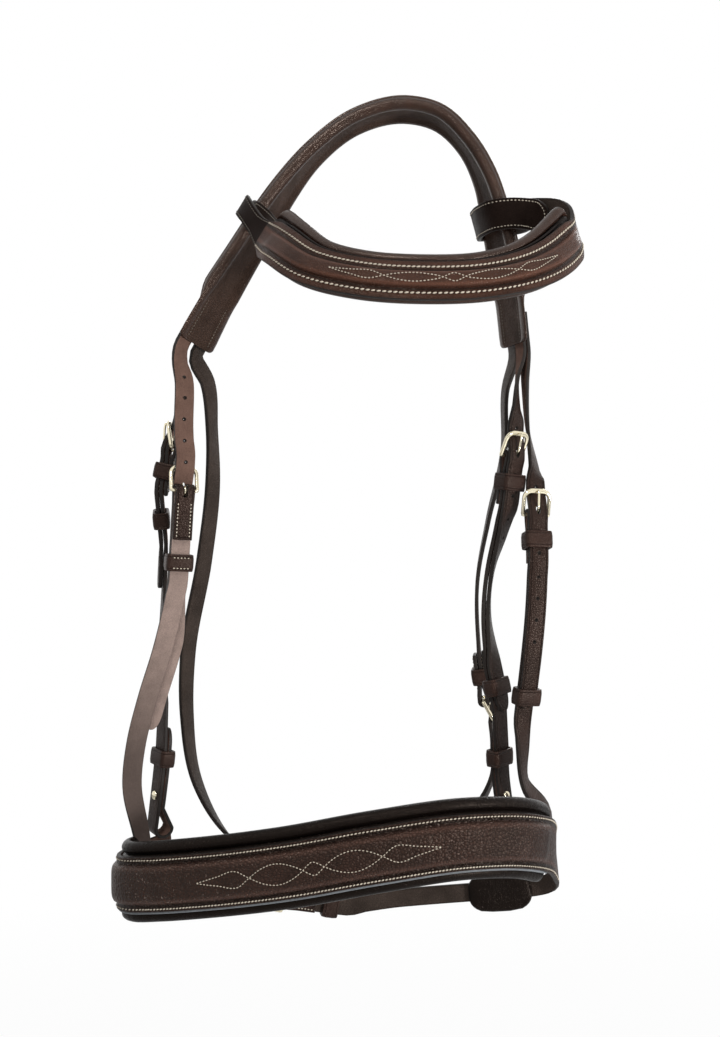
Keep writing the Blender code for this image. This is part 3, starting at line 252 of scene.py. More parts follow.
NOSE_LEFT_SHARES = (
    (-0.716, -0.17, -0.360, 116, 0),
    (-0.717, -0.20, -0.418, 112, 0),
    (-0.706, -0.20, -0.486, 112, 0),
    (-0.696, -0.20, -0.520, 112, 0),
    (-0.722, -0.18, -0.575, 110, 0),
    (-0.742, -0.18, -0.625, 108, 0),
    (-0.788, -0.17, -0.704, 108, 0),
    (-0.840, -0.15, -0.770, 106, 0),
    (-0.880, -0.10, -0.830, 104, 0),
    (-0.897, -0.04, -0.884, 106, 0),
)
NOSE_RIGHT_SHARES = (
    (0.388, -0.04, -0.356, 8, 0),
    (0.397, 0.00, -0.412, 356, 0),
    (0.417, -0.07, -0.472, 326, 0),
    (0.422, -0.21, -0.528, 284, 0),
    (0.421, -0.22, -0.585, 280, 0),
    (0.414, -0.21, -0.650, 284, 0),
    (0.398, -0.19, -0.718, 290, 0),
    (0.380, -0.16, -0.776, 298, 0),
    (0.376, -0.13, -0.830, 318, 0),
    (0.384, -0.08, -0.880, 340, 0),
)
THROAT_SHARES = (
    (-0.655, 0.17, -0.352, 142, 0),
    (-0.642, 0.21, -0.415, 154, 0),
    (-0.642, 0.25, -0.485, 142, 0),
    (-0.672, 0.27, -0.590, 137, 0),
    (-0.728, 0.29, -0.715, 139, 0),
    (-0.732, 0.30, -0.800, 148, 0),
    (-0.696, 0.31, -0.892, 164, 0),
    (-0.590, 0.32, -0.965, 190, 0),
    (-0.400, 0.33, -1.014, 225, 0),
    (-0.180, 0.33, -1.028, 262, 0),
    (0.060, 0.33, -1.000, 305, 0),
    (0.235, 0.34, -0.934, 336, 0),
    (0.300, 0.34, -0.880, 346, 0),
    (0.295, 0.35, -0.828, 350, 0),
    (0.270, 0.34, -0.770, 352, 0),
    (0.248, 0.32, -0.700, 354, 0),
    (0.244, 0.30, -0.620, 356, 0),
    (0.280, 0.27, -0.535, 0, 0),
    (0.331, 0.22, -0.440, 6, 0),
    (0.334, 0.18, -0.360, 10, 0),
)

# Where the heel bar of each buckle lies, as a share of its route's length, how long the tail
# of the billet is past the bar, and how far past the bar its keepers lie
CHEEK_LEFT_BAR_SHARE = 0.262
CHEEK_RIGHT_BAR_SHARE = 0.272
NOSE_LEFT_BAR_SHARE = 0.310
NOSE_RIGHT_BAR_SHARE = 0.358
THROAT_BAR_SHARE = 0.706
CHIN_BAR_SHARE = 0.300
CHEEK_LEFT_TAIL = 0.095
CHEEK_RIGHT_TAIL = 0.172
NOSE_LEFT_TAIL = 0.160
NOSE_RIGHT_TAIL = 0.126
THROAT_TAIL = 0.034
CHIN_TAIL = 0.050
FIRST_KEEPER_PLACE = 0.0170
CHEEK_LEFT_RUNNER_PLACE = 0.048
CHEEK_RIGHT_RUNNER_PLACE = 0.156
NOSE_LEFT_KEEPER_PLACE = 0.047
NOSE_RIGHT_RUNNER_PLACE = 0.118
CHIN_RUNNER_PLACE = 0.034
RUNNER_PLACES = (("cheek_left", CHEEK_LEFT_RUNNER_PLACE), ("cheek_right", CHEEK_RIGHT_RUNNER_PLACE),
                 ("nose_right", NOSE_RIGHT_RUNNER_PLACE), ("chin", CHIN_RUNNER_PLACE))
BIT_KEEPER_PLACE = 0.052
STUD_PLACE = 0.026
NOSE_LEFT_DRIFT = 0.0065
BROW_LEFT_SPOT = Vector((-0.47 * HEAD_WIDTH, 0.0, -0.145 * HANG_DROP))
BROW_RIGHT_SPOT = Vector((0.290 * HEAD_WIDTH, 0.0, -0.142 * HANG_DROP))

# Sewing, edges and pads, and how finely they are drawn
EDGE_ROUND = 0.0006
KEEPER_FULL = 0.00035
KEEPER_ROW_INSET = 0.0021
BROW_FRONT_WIDTH = 0.0262
BROW_WIDEN_LENGTH = 0.014
BROW_LEFT_LOOP_SHARE = 0.72
BROW_ROW_PLACE = 0.0090
NOSE_ROW_PLACE = 0.0153
NOSE_LEATHER_SHIFT = 0.0016
COVER_ROW_INSET = 0.0026
PATCH_ROW_INSET = 0.0019
FOLD_ROW_INSET = 0.0021
ROW_END = 0.0025
CHAIN_TIP = 0.074
CHAIN_CROSSINGS = (0.040, 0.0065)
NOSE_CHAIN_HEIGHTS = (0.0050, 0.0065, 0.0041)
BROW_CHAIN_HEIGHTS = (0.0027, 0.0030, 0.0028)
NOSE_MIDDLE_SHARES = (-0.277, -0.66, -0.962)
BROW_MIDDLE_SHARES = (0.124, -1.2, -0.26)
PAD_END_LENGTH = 0.0042
CHIN_PAD_END_LENGTH = 0.0130
CHIN_PAD_END_SHARE = 0.26
CHIN_PAD_TRIM = 0.0070
COVER_SKIVE_LENGTH = 0.016
COVER_SKIVE_SHARE = 0.25
COVER_ROUND_SHARE = 0.42
LINING_ROW_SHARE = 2.2
FINE_STATION = 0.0040
FRONT_STATION = FINE_STATION * 0.75
FOLD_STEPS = 14
PATCH_STEPS = 12
CROWN_ROLL_SHOWN = 0.0041
CROWN_ROLL_PROUD = 0.0017
METAL_SIDES = 16
ROUTE_STEP = 0.001
SLOPE_LIMIT = 0.6
RIM_ANGLE = 1.0
TIP_BLUNT = 0.22
TIP_ROW_SHARES = (0.0, 0.015, 0.05, 0.12, 0.22, 0.36, 0.55, 0.78, 1.0)
PUNCH_MARGIN = 1.05

# Shares that place a strap's seats on another piece, top first
CROWN_SEAT_SHARES = (1.0, 0.5, 0.0, -0.2)
CHIN_SEAT_SHARES = (1.0, 0.5, 0.0, -0.3)
NOSE_SEAT_SHARES = (1.25, 0.4)

# Shares that place a strap's rows about its holes, folds and buckle
STRAIGHT_SHARE = 1.15
HOLE_FLANK_SHARE = 1.35
HOLE_CLEAR_SHARE = 1.3
HOLE_SETBACK_SHARE = 0.15
CELL_CLEAR_SHARE = 1.5
FOLD_EASE_SHARE = 0.8
BIT_CLOSE_RADII = 4
FOLD_ROW_START_SHARE = 0.8
FOLD_ROW_END_SHARE = 0.6

# Where the headpiece's pad thickens past its pockets, and where the noseband's raise begins,
# as multiples of the pocket's and the seam's length
CROWN_SWELL = (1.3, 2.0)
NOSE_SWELL = (2.0, 2.7)

# A pad's section: each edge is rolled through an angle, from its lining to its back. Shares of
# the half width place the flat points, and shares of the roll's radius place the others.
PAD_ROLL_STEPS = 16
PAD_ROLL_SWEEP = 236.0
PAD_FLAT_SHARES = (0.3, 0.6)
PAD_LINING_REACH = 1.3
PAD_LINING_SINK = 0.3
PAD_VALLEY = (0.85, 0.55)
PAD_BACK_REACH = 1.15
PAD_BACK_SHARE = 0.96
PAD_ROLL_FIRST = len(PAD_FLAT_SHARES) + 2
PAD_END_ROWS = (0.03, 0.1, 0.2, 0.35, 0.6)

# Piping: how far its middle lies from the edge it is sewn to, in radii
PIPING_RADIUS = 0.0010
PIPING_SIDES = 10
PIPING_END_SHARE = 0.5
BROW_PIPING_REACH = 1.2
NOSE_PIPING_REACH = 0.5
NOSE_PIPING_HEIGHT = 0.7

# Stitches, as shares of their thickness: how far they stand out and how flat they are
STITCH_STAND = 0.16
STITCH_FLATNESS = 0.8
NOSE_STITCH_SHARE = 0.72
NOSE_THREAD_SHARE = 0.8

# Keepers: shares of their thickness or width
KEEPER_CORNER_SHARE = 0.45
KEEPER_CORNER_STEPS = 6
KEEPER_ROUND_SHARE = 0.8
KEEPER_CROWN_SHARE = 0.5
KEEPER_EASE_SHARE = 0.3
KEEPER_ROW_SINK = 0.6

# Buckles, prongs and studs: shares of their sizes, along the outline of each
BAR_ROWS = (0.0, 0.3, 0.6, 0.86)
SIDE_ROWS = (0.0, 0.04, 0.15, 0.4, 0.7, 1.0)
SIDE_START_SHARE = 0.35
SHOULDER_STEPS = 8
RIM_SPREAD = 0.35
PRONG_EYE_STEPS = 12
PRONG_STEPS = 60
PRONG_LEAVE = math.radians(133.0)
PRONG_EYE_GAP = math.radians(38.0)
PRONG_EYE_TURN = math.radians(280.0)
PRONG_TIP_ROWS = (0.55, 0.8, 0.93, 0.99)
PRONG_RISE = (0.5, 0.56)
PRONG_CREST = (1.5, 0.35)
PRONG_NOSE = (2, 0.3)
PRONG_OVERHANG = 0.4
PRONG_TIP_DIP = 0.1
STUD_CAP_ROWS = ((1.0, 0.0), (0.97, 0.3), (0.86, 0.58), (0.62, 0.82), (0.3, 0.96), (0.1, 1.0), (0.0, 0.94))
STUD_HEAD_ROWS = ((0.0, 0.9), (0.25, 0.9), (0.7, 0.72), (1.0, 0.3), (1.0, 0.0))
STUD_STEPS = 24

# A chain of lenses: heights of the lenses' shoulders, and the open lens at its tip
SMALL_LENS_SHOULDER = 0.62
BIG_LENS_SHOULDER = 0.72
TIP_LENS = ((0.22, 0.95), (0.6, 0.55))
CHAIN_POINTS = 241

# Raised leathers: places of their rows across the raise, and how square its shoulders are
RAISE_ROWS = (0.2, 0.4, 0.6, 0.78, 0.9, 0.97, 1.0)
OUTSIDE_ROW = 0.4
NOSE_RAISE_POWER = 5
BROW_RAISE_POWER = 4

# Shine of the leathers, and how the left noseband hanger grows darker towards its noseband end: the place
# along the strap at which this begins, where it is full, how dark it is there and how strong
LEATHER_GLOSS = 0.12
LEATHER_SHEEN_TINT = (1.0, 0.80, 0.68, 1.0)
FLESH_GLOSS = 0.08
HANGER_DARKENING = (0.130, 0.215, 0.22, 0.8)

# Bands of painted light along both sides of a raise: how far past its edge, how wide, how light and how
# strong.
# The first is painted shade in the valley beside the raise and the second a painted highlight on its
# shoulder.
BROW_SHADE_AND_HIGHLIGHT_BANDS = ((0.0012, 0.0019, 0.1, 0.95), (-0.0013, 0.0016, 2.8, 0.65))
NOSE_SHADE_AND_HIGHLIGHT_BANDS = ((0.0009, 0.0019, 0.1, 0.95), (-0.0017, 0.0025, 4.5, 0.5))

# Stage
CAMERA_PLACE = (-0.0297, -1.0, -0.267)
CAMERA_LENS = 52.6
CAMERA_SENSOR = 36.0
FLOOR_RADIUS = 6.0
FLOOR_HEIGHT = -1.05
FLOOR_GLOW = 0.90
FLOOR_NEAR = 1.1
FLOOR_FAR = 2.4
FLOOR_TONES = (0.90, 0.94)
ROOM_LIGHT = 0.30
# Each lamp's name, place, width and power
LAMPS = (
    ("front_lamp", (-0.5, -1.5, 1.1), 0.40, 16.0),
    ("low_lamp", (1.4, -1.2, -0.45), 0.35, 26.0),
    ("back_lamp", (0.5, 1.5, 0.6), 0.6, 9.0),
)

# Heights of the layers about a buckle
BAR_CLEAR = BUCKLE_BAR_RADIUS + FIT_GAP
BAR_HEIGHT = -LAYER_GAP / 2
OVER_BAR = BAR_HEIGHT + BAR_CLEAR + STRAP_THICK + LAYER_GAP
OVER_STRAP = STRAP_THICK + LAYER_GAP
RIM_REACH = BUCKLE_LENGTH * math.cos(BUCKLE_TILT)
RIM_HEIGHT = BAR_HEIGHT + BUCKLE_LENGTH * math.sin(BUCKLE_TILT)
UNDER_RIM = RIM_HEIGHT - BUCKLE_RIM_RADIUS * 1.15 - FIT_GAP * 2.2 - STRAP_THICK
BILLET_SETTLE = BUCKLE_LENGTH * 1.8
BILLET_REST = BUCKLE_LENGTH * 0.62
STACK_LOW = -LAYER_GAP - STRAP_THICK
STACK_HIGH = OVER_STRAP + STRAP_THICK

# Places across a strap that is slotted for its prong
SLOTTED_COLUMNS = (-STRAP_WIDTH / 2, -FOLD_SLOT_WIDTH / 2, FOLD_SLOT_WIDTH / 2, STRAP_WIDTH / 2)


def spaced(start, end, longest):
    """Places from start to end, none further apart than longest."""
    count = max(1, math.ceil(abs(end - start) / longest - TINY))
    return [start + (end - start) * i / count for i in range(count + 1)]


def smooth_step(x, start, end):
    t = min(max((x - start) / (end - start), 0.0), 1.0)
    return t * t * (3 - 2 * t)


def billet_height(s, bar):
    """Height of a billet's flesh side: flat, under the rim, over the bar, then on the strap."""
    rim = bar - RIM_REACH
    if s < rim:
        return UNDER_RIM * smooth_step(s, bar - BILLET_SETTLE, rim)
    if s < bar:
        return UNDER_RIM + (OVER_BAR - UNDER_RIM) * (s - rim) / (bar - rim)
    return OVER_BAR + (OVER_STRAP - OVER_BAR) * smooth_step(s, bar, bar + BILLET_REST)


def facing(compass, lift):
    """The direction of a compass angle and a lift, both in degrees."""
    turn, rise = math.radians(compass), math.radians(lift)
    flat = math.cos(rise)
    return Vector((math.cos(turn) * flat, math.sin(turn) * flat, math.sin(rise)))


def run_lengths(points):
    """The length run from the first point to each, along straight steps."""
    steps = np.linalg.norm(np.diff(points, axis=0), axis=1)
    return np.concatenate([[0.0], np.cumsum(steps)])


class Route:
    """A smooth line through spots, each with the way the grain side faces there."""

    def __init__(self, spots):
        points = np.array([list(point) for point, _ in spots])
        faces = np.array([list(face) for _, face in spots])
        knots = run_lengths(points)
        samples = np.linspace(0.0, knots[-1], int(knots[-1] / ROUTE_STEP) + 2)
        self.faces = hermite(knots, faces, samples)
        self.measure(hermite(knots, points, samples))

    def measure(self, line):
        self.line = line
        self.at = run_lengths(line)
        self.length = float(self.at[-1])
        self.tangents = np.gradient(line, self.at, axis=0)
        self.known = {}

    def read(self, table, s):
        return Vector([float(np.interp(s, self.at, column)) for column in table.T])

    def frame(self, s):
        """The place at s and the directions along, across and out."""
        key = round(s, 7)
        if key not in self.known:
            inside = min(max(s, 0.0), self.length)
            along = self.read(self.tangents, inside).normalized()
            point = self.read(self.line, inside) + along * (s - inside)
            out = self.read(self.faces, inside)
            out = (out - along * out.dot(along)).normalized()
            self.known[key] = (point, along, out.cross(along), out)
        return self.known[key]

    def place(self, s, across, out):
        point, _, side, up = self.frame(s)
        return point + side * across + up * out

    def seat(self, s, across, out):
        """A place and facing on this route, for another route to start or end at."""
        return self.place(s, across, out), self.frame(s)[3]

    def straighten(self, start, end, blend):
        """Draws a stretch of the route straight, with one facing, and eases it into the rest."""
        first, last = self.read(self.line, start), self.read(self.line, end)
        face = self.read(self.faces, (start + end) / 2)
        straight = np.array([first + (last - first) * ((s - start) / (end - start)) for s in self.at])
        share = np.array([smooth_step(s, start - blend, start) - smooth_step(s, end, end + blend)
                          for s in self.at])[:, None]
        self.faces = self.faces + (np.array(list(face)) - self.faces) * share
        self.measure(self.line + (straight - self.line) * share)

    def nearest(self, target):
        """The length along the route at which it comes nearest to a place."""
        gaps = np.linalg.norm(self.line - np.array(list(target)), axis=1)
        return float(self.at[int(np.argmin(gaps))])


def hermite(knots, values, samples):
    """Reads a smooth curve through values at knots."""
    slopes = np.gradient(values, knots, axis=0)
    span = np.clip(np.searchsorted(knots, samples, side="right") - 1, 0, len(knots) - 2)
    width = (knots[span + 1] - knots[span])[:, None]
    t = (samples - knots[span])[:, None] / width
    rise, fall = t * t * (3 - 2 * t), (1 - t) * (1 - t) * (1 + 2 * t)
    start, end = t * (1 - t) * (1 - t), -t * t * (1 - t)
    ends = fall * values[span] + rise * values[span + 1]
    return ends + width * (start * slopes[span] + end * slopes[span + 1])


def share_place(shares):
    """A place from its shares of the overall sizes."""
    across, back, down = shares
    return Vector((across * HEAD_WIDTH, back * BROW_REACH, down * HANG_DROP))


def places(shares):
    """Places and facings from a table of shares."""
    return [(share_place(row[:3]), facing(*row[3:])) for row in shares]


class Lay:
    """How a flat strap lies over its route: a path of length along and height out."""

    def __init__(self, path):
        self.path = np.array(path)
        self.at = run_lengths(self.path)
        steps = np.diff(self.path, axis=0)
        slopes = steps / np.linalg.norm(steps, axis=1)[:, None]
        ahead = np.vstack([slopes, slopes[-1:]])
        behind = np.vstack([slopes[:1], slopes])
        middle = ahead + behind
        middle /= np.linalg.norm(middle, axis=1)[:, None]
        self.outward = np.column_stack([-middle[:, 1], middle[:, 0]])
        self.length = float(self.at[-1])

    def read(self, u, thickness):
        s = np.interp(u, self.at, self.path[:, 0])
        h = np.interp(u, self.at, self.path[:, 1])
        out = np.array([np.interp(u, self.at, self.outward[:, i]) for i in (0, 1)])
        out /= np.linalg.norm(out)
        return float(s + out[0] * thickness), float(h + out[1] * thickness)


# Places of the straps on each other

def crown_seats(crown, side, across, sewn_outside):
    """Seats for a strap sewn to one end of the headpiece, top first, on its leather or its lining."""
    height = CROWN_LINING_THICK + POCKET_GAP / 2
    if sewn_outside:
        height = CROWN_PAD_THICK + FIT_GAP
    found = []
    for share in CROWN_SEAT_SHARES:
        s = CROWN_POCKET_LENGTH * share
        found.append(crown.seat(s if side < 0 else crown.length - s, across, height))
    return found


def nose_seats(route, s):
    """Seats for a hanger's tab down the inside of the noseband's leather."""
    height = NOSE_PAD_THICK - STRAP_THICK - LAYER_GAP
    rows = [NOSE_LEATHER_WIDTH / 2 * share for share in NOSE_SEAT_SHARES] + [-NOSE_TAB_DROP]
    return [route.seat(s, across, height) for across in rows]


def chin_route(nose):
    """The chin strap's route, from inside one end of the noseband to inside the other."""
    height = NOSE_PAD_THICK - STRAP_THICK - FIT_GAP
    insides = [NOSE_SEAM_LENGTH * share for share in CHIN_SEAT_SHARES]
    first = [nose.seat(inside, 0.0, height) for inside in insides]
    last = [nose.seat(nose.length - inside, 0.0, height) for inside in insides[::-1]]
    return Route(first + places(CHIN_BEHIND_SHARES) + last)


def loop_seats(crown, spot, shares):
    """Places and facings of a browband's loop about the headpiece, from a table of shares."""
    s = crown.nearest(spot)
    point, _, side, out = crown.frame(s)
    found = []
    for across, height, down, degrees in shares:
        turn = math.radians(degrees)
        place = point + (side * across + out * height) * CROWN_WIDTH
        place.z -= down * CROWN_WIDTH
        found.append((place, side * math.cos(turn) + out * math.sin(turn)))
    return found


def brow_route(crown):
    """The browband's route, from its sewn patch by the left leg to its patch by the right leg."""
    left = loop_seats(crown, BROW_LEFT_SPOT, BROW_LEFT_LOOP_SHARES)
    right = loop_seats(crown, BROW_RIGHT_SPOT, BROW_RIGHT_LOOP_SHARES)
    return Route(left + places(BROW_ROUTE_SHARES) + right[::-1])


def buckled(route, bar_share, last_keeper, runner=None):
    """A run's route, drawn straight where its buckle and keepers lie, and its heel bar's place."""
    bar = route.length * bar_share
    reach = KEEPER_WIDTH / 2 + RUNNER_SLIDE
    route.straighten(bar - BUCKLE_LENGTH * STRAIGHT_SHARE, bar + last_keeper + reach, BUCKLE_LENGTH)
    if runner is not None:
        clear = reach + RUNNER_SLIDE
        route.straighten(bar + runner - clear, bar + runner + clear, BUCKLE_LENGTH)
    return route, bar


CROWN = Route(places(CROWN_ROUTE_SHARES))
BROW = brow_route(CROWN)
BROW_FIRST = BROW.nearest(places(BROW_ROUTE_SHARES)[0][0]) + BROW_PATCH_CLEAR
BROW_LAST = BROW.nearest(places(BROW_ROUTE_SHARES)[-1][0]) - BROW_PATCH_CLEAR
NOSE = Route(places(NOSE_ROUTE_SHARES))
NOSE_TAB_PLACE = NOSE_SEAM_LENGTH + STRAP_WIDTH / 2 + KEEPER_SLACK
RUNS = {
    "cheek_left": buckled(
        Route(crown_seats(CROWN, -1, FRONT_STRAP_OFFSET, True) + places(CHEEK_LEFT_SHARES)),
        CHEEK_LEFT_BAR_SHARE, FIRST_KEEPER_PLACE, CHEEK_LEFT_RUNNER_PLACE),
    "cheek_right": buckled(
        Route(crown_seats(CROWN, 1, POCKET_STRAP_OFFSET / 2, False) + places(CHEEK_RIGHT_SHARES)),
        CHEEK_RIGHT_BAR_SHARE, FIRST_KEEPER_PLACE, CHEEK_RIGHT_RUNNER_PLACE),
    "nose_left": buckled(
        Route(crown_seats(CROWN, -1, POCKET_STRAP_OFFSET, False) + places(NOSE_LEFT_SHARES)
              + nose_seats(NOSE, NOSE_TAB_PLACE)),
        NOSE_LEFT_BAR_SHARE, NOSE_LEFT_KEEPER_PLACE),
    "nose_right": buckled(
        Route(crown_seats(CROWN, 1, FRONT_STRAP_OFFSET, True) + places(NOSE_RIGHT_SHARES)
              + nose_seats(NOSE, NOSE.length - NOSE_TAB_PLACE)),
        NOSE_RIGHT_BAR_SHARE, FIRST_KEEPER_PLACE, NOSE_RIGHT_RUNNER_PLACE),
    "throat": buckled(
        Route(crown_seats(CROWN, -1, REAR_STRAP_OFFSET, True) + places(THROAT_SHARES)
              + crown_seats(CROWN, 1, REAR_STRAP_OFFSET, True)[::-1]),
        THROAT_BAR_SHARE, FIRST_KEEPER_PLACE),
    "chin": buckled(chin_route(NOSE), CHIN_BAR_SHARE, CHIN_RUNNER_PLACE),
}


# Shader groups and materials

class Tree:
    """Places nodes and joins them by name."""

    def __init__(self, tree):
        self.tree = tree
        self.count = 0

    def node(self, kind, inputs=None, **settings):
        made = self.tree.nodes.new(kind)
        made.location = (self.count % 8 * 190.0, -(self.count // 8) * 260.0)
        self.count += 1
        for key, value in settings.items():
            setattr(made, key, value)
        for key, value in (inputs or {}).items():
            self.put(value, made.inputs[key])
        return made

    def put(self, value, socket):
        """Joins another node's output to a socket, or gives the socket a value."""
        if isinstance(value, bpy.types.NodeSocket):
            self.tree.links.new(value, socket)
        else:
            socket.default_value = value

    def math(self, operation, a, b=None, clamp=False):
        inputs = {0: a} if b is None else {0: a, 1: b}
        return self.node("ShaderNodeMath", inputs, operation=operation, use_clamp=clamp).outputs[0]

    def mix(self, share, a, b):
        made = self.node("ShaderNodeMix", data_type="RGBA", clamp_factor=True)
        self.put(share, made.inputs[0])
        for index, value in ((6, a), (7, b)):
            joined = isinstance(value, bpy.types.NodeSocket)
            self.put(value if joined else (*value, 1.0), made.inputs[index])
        return made.outputs[2]

    def stretch(self, value, low, high, to_low, to_high):
        inputs = {0: value, 1: low, 2: high, 3: to_low, 4: to_high}
        return self.node("ShaderNodeMapRange", inputs, clamp=True).outputs[0]

    def bend(self, operation, a, b):
        return self.node("ShaderNodeVectorMath", {0: a, 1: b}, operation=operation).outputs[0]

    def noise(self, where, scale, detail, roughness=0.5):
        inputs = {"Vector": where, "Scale": scale, "Detail": detail, "Roughness": roughness}
        return self.node("ShaderNodeTexNoise", inputs).outputs["Fac"]


def new_group(name, inputs, outputs):
    """An empty shader group with named sockets, and its nodes for the inputs and outputs."""
    group = bpy.data.node_groups.new(name, "ShaderNodeTree")
    for label, kind, default in inputs:
        socket = group.interface.new_socket(label, in_out="INPUT", socket_type=f"NodeSocket{kind}")
        if default is not None:
            socket.default_value = default
    for label, kind in outputs:
        group.interface.new_socket(label, in_out="OUTPUT", socket_type=f"NodeSocket{kind}")
    tree = Tree(group)
    return tree, tree.node("NodeGroupInput").outputs, tree.node("NodeGroupOutput").inputs


def build_grain(name):
    """Leather grain: soft pebbles, the fine lines between them and slow changes of tone."""
    tree, given, out = new_group(
        name,
        [("Vector", "Vector", None), ("Pebble Size", "Float", 0.0011), ("Pebble Depth", "Float", 0.5)],
        [("Height", "Float"), ("Tone", "Float"), ("Lines", "Float")])
    scale = tree.math("DIVIDE", 1.0, given["Pebble Size"])
    warp = tree.node("ShaderNodeTexNoise", {"Vector": given["Vector"], "Scale": 420.0, "Detail": 2.0})
    bent = tree.bend("MULTIPLY", warp.outputs["Color"], (0.00055, 0.00055, 0.00055))
    pebbles = {"Vector": tree.bend("ADD", given["Vector"], bent), "Scale": scale, "Randomness": 0.95}
    cells, lines = (tree.node("ShaderNodeTexVoronoi", pebbles, feature=feature).outputs["Distance"]
                    for feature in ("SMOOTH_F1", "DISTANCE_TO_EDGE"))
    fine = tree.noise(given["Vector"], 2600.0, 4.0)
    slow = tree.noise(given["Vector"], 46.0, 5.0, 0.62)
    dome = tree.stretch(cells, 0.0, 0.75, 1.0, 0.0)
    valley = tree.stretch(lines, 0.0, 0.12, 0.0, 1.0)
    shape = tree.math("MULTIPLY", tree.math("ADD", dome, valley), given["Pebble Depth"])
    rough = tree.math("MULTIPLY", fine, 0.35)
    tree.put(tree.math("ADD", shape, rough), out["Height"])
    tree.put(tree.stretch(slow, 0.3, 0.7, 0.0, 1.0), out["Tone"])
    tree.put(tree.math("SUBTRACT", 1.0, valley, True), out["Lines"])
    return tree.tree


def build_groove(name):
    """A pressed line at a set distance from a middle line or an edge."""
    tree, given, out = new_group(
        name, [("Distance", "Float", 0.0), ("Place", "Float", 0.0016), ("Width", "Float", 0.0005)],
        [("Line", "Float")])
    away = tree.math("ABSOLUTE", tree.math("SUBTRACT", given["Distance"], given["Place"]))
    share = tree.math("DIVIDE", away, given["Width"])
    tree.put(tree.stretch(share, 0.0, 1.0, 1.0, 0.0), out["Line"])
    return tree.tree


def build_wrinkle(name):
    """Fine folds across a soft roll."""
    tree, given, out = new_group(
        name, [("Vector", "Vector", None), ("Fold Size", "Float", 0.0024)], [("Height", "Float")])
    scale = tree.math("DIVIDE", 1.0, given["Fold Size"])
    long = tree.node("ShaderNodeMapping", {"Vector": given["Vector"], "Scale": (1.0, 0.16, 1.0)})
    tree.put(tree.noise(long.outputs[0], scale, 3.0), out["Height"])
    return tree.tree


def build_fibre(name):
    """The loose nap of leather's flesh side."""
    tree, given, out = new_group(
        name, [("Vector", "Vector", None)], [("Height", "Float"), ("Tone", "Float")])
    nap = tree.noise(given["Vector"], 1500.0, 6.0, 0.75)
    patch = tree.noise(given["Vector"], 130.0, 4.0)
    tree.put(nap, out["Height"])
    both = tree.math("ADD", tree.math("MULTIPLY", nap, 0.72), tree.math("MULTIPLY", patch, 0.28))
    tree.put(tree.stretch(both, 0.35, 0.65, 0.0, 1.0), out["Tone"])
    return tree.tree


def build_twist(name):
    """The turns of a twisted thread, from the stitch's own map."""
    tree, given, out = new_group(
        name, [("Vector", "Vector", None), ("Turns", "Float", 5.0)], [("Height", "Float")])
    parts = tree.node("ShaderNodeSeparateXYZ", {0: given["Vector"]}).outputs
    turn = tree.math("ADD", parts["X"], tree.math("MULTIPLY", parts["Y"], given["Turns"]))
    wave = tree.math("SINE", tree.math("MULTIPLY", turn, 2 * math.pi))
    tree.put(tree.stretch(wave, -1.0, 1.0, 0.0, 1.0), out["Height"])
    return tree.tree


def build_tarnish(name):
    """Handling marks on cast metal: soft scratches and a warm, duller film."""
    tree, given, out = new_group(
        name, [("Vector", "Vector", None)], [("Film", "Float"), ("Scratches", "Float")])
    film = tree.noise(given["Vector"], 210.0, 5.0)
    drawn = tree.node("ShaderNodeMapping", {"Vector": given["Vector"], "Scale": (1.0, 1.0, 9.0)})
    marks = tree.noise(drawn.outputs[0], 900.0, 3.0)
    tree.put(tree.stretch(film, 0.38, 0.66, 0.0, 1.0), out["Film"])
    tree.put(tree.stretch(marks, 0.4, 0.6, 0.0, 1.0), out["Scratches"])
    return tree.tree


def shaded(colour, share):
    """A colour made darker or lighter."""
    return tuple(value * share for value in colour)


def empty_tree(owner):
    """Nodes for a new material or world, to be placed one by one."""
    owner.use_nodes = True
    owner.node_tree.nodes.clear()
    return Tree(owner.node_tree)


def start_material(name):
    made = bpy.data.materials.new(name)
    tree = empty_tree(made)
    shader = tree.node("ShaderNodeBsdfPrincipled")
    tree.node("ShaderNodeOutputMaterial", {"Surface": shader.outputs[0]})
    return made, tree, shader


def end_material(tree, shader, tone, height, bump, roughness, gloss=None):
    """Joins colour, bump and roughness to the shader; a bump is its distance and strength."""
    distance, strength = bump
    bumped = tree.node("ShaderNodeBump", {"Height": height, "Distance": distance, "Strength": strength})
    for label, value in (("Base Color", tone), ("Normal", bumped.outputs[0]), ("Roughness", roughness)):
        tree.put(value, shader.inputs[label])
    if gloss is not None:
        shader.inputs["Specular IOR Level"].default_value = gloss


def flat_measures(tree):
    """Length along, width across and distance from the edge, as each piece was cut."""
    flat = tree.node("ShaderNodeAttribute", attribute_name="flat").outputs["Vector"]
    return flat, tree.node("ShaderNodeSeparateXYZ", {0: flat}).outputs


def pressed_line(tree, away, place, width):
    inputs = {"Distance": away, "Place": place, "Width": width}
    return placed(tree, "pressed_line", build_groove, inputs)["Line"]


def placed(tree, name, build, inputs):
    """Outputs of a shader group set into a material, with its own values."""
    group = bpy.data.node_groups.get(name) or build(name)
    return tree.node("ShaderNodeGroup", inputs, node_tree=group).outputs


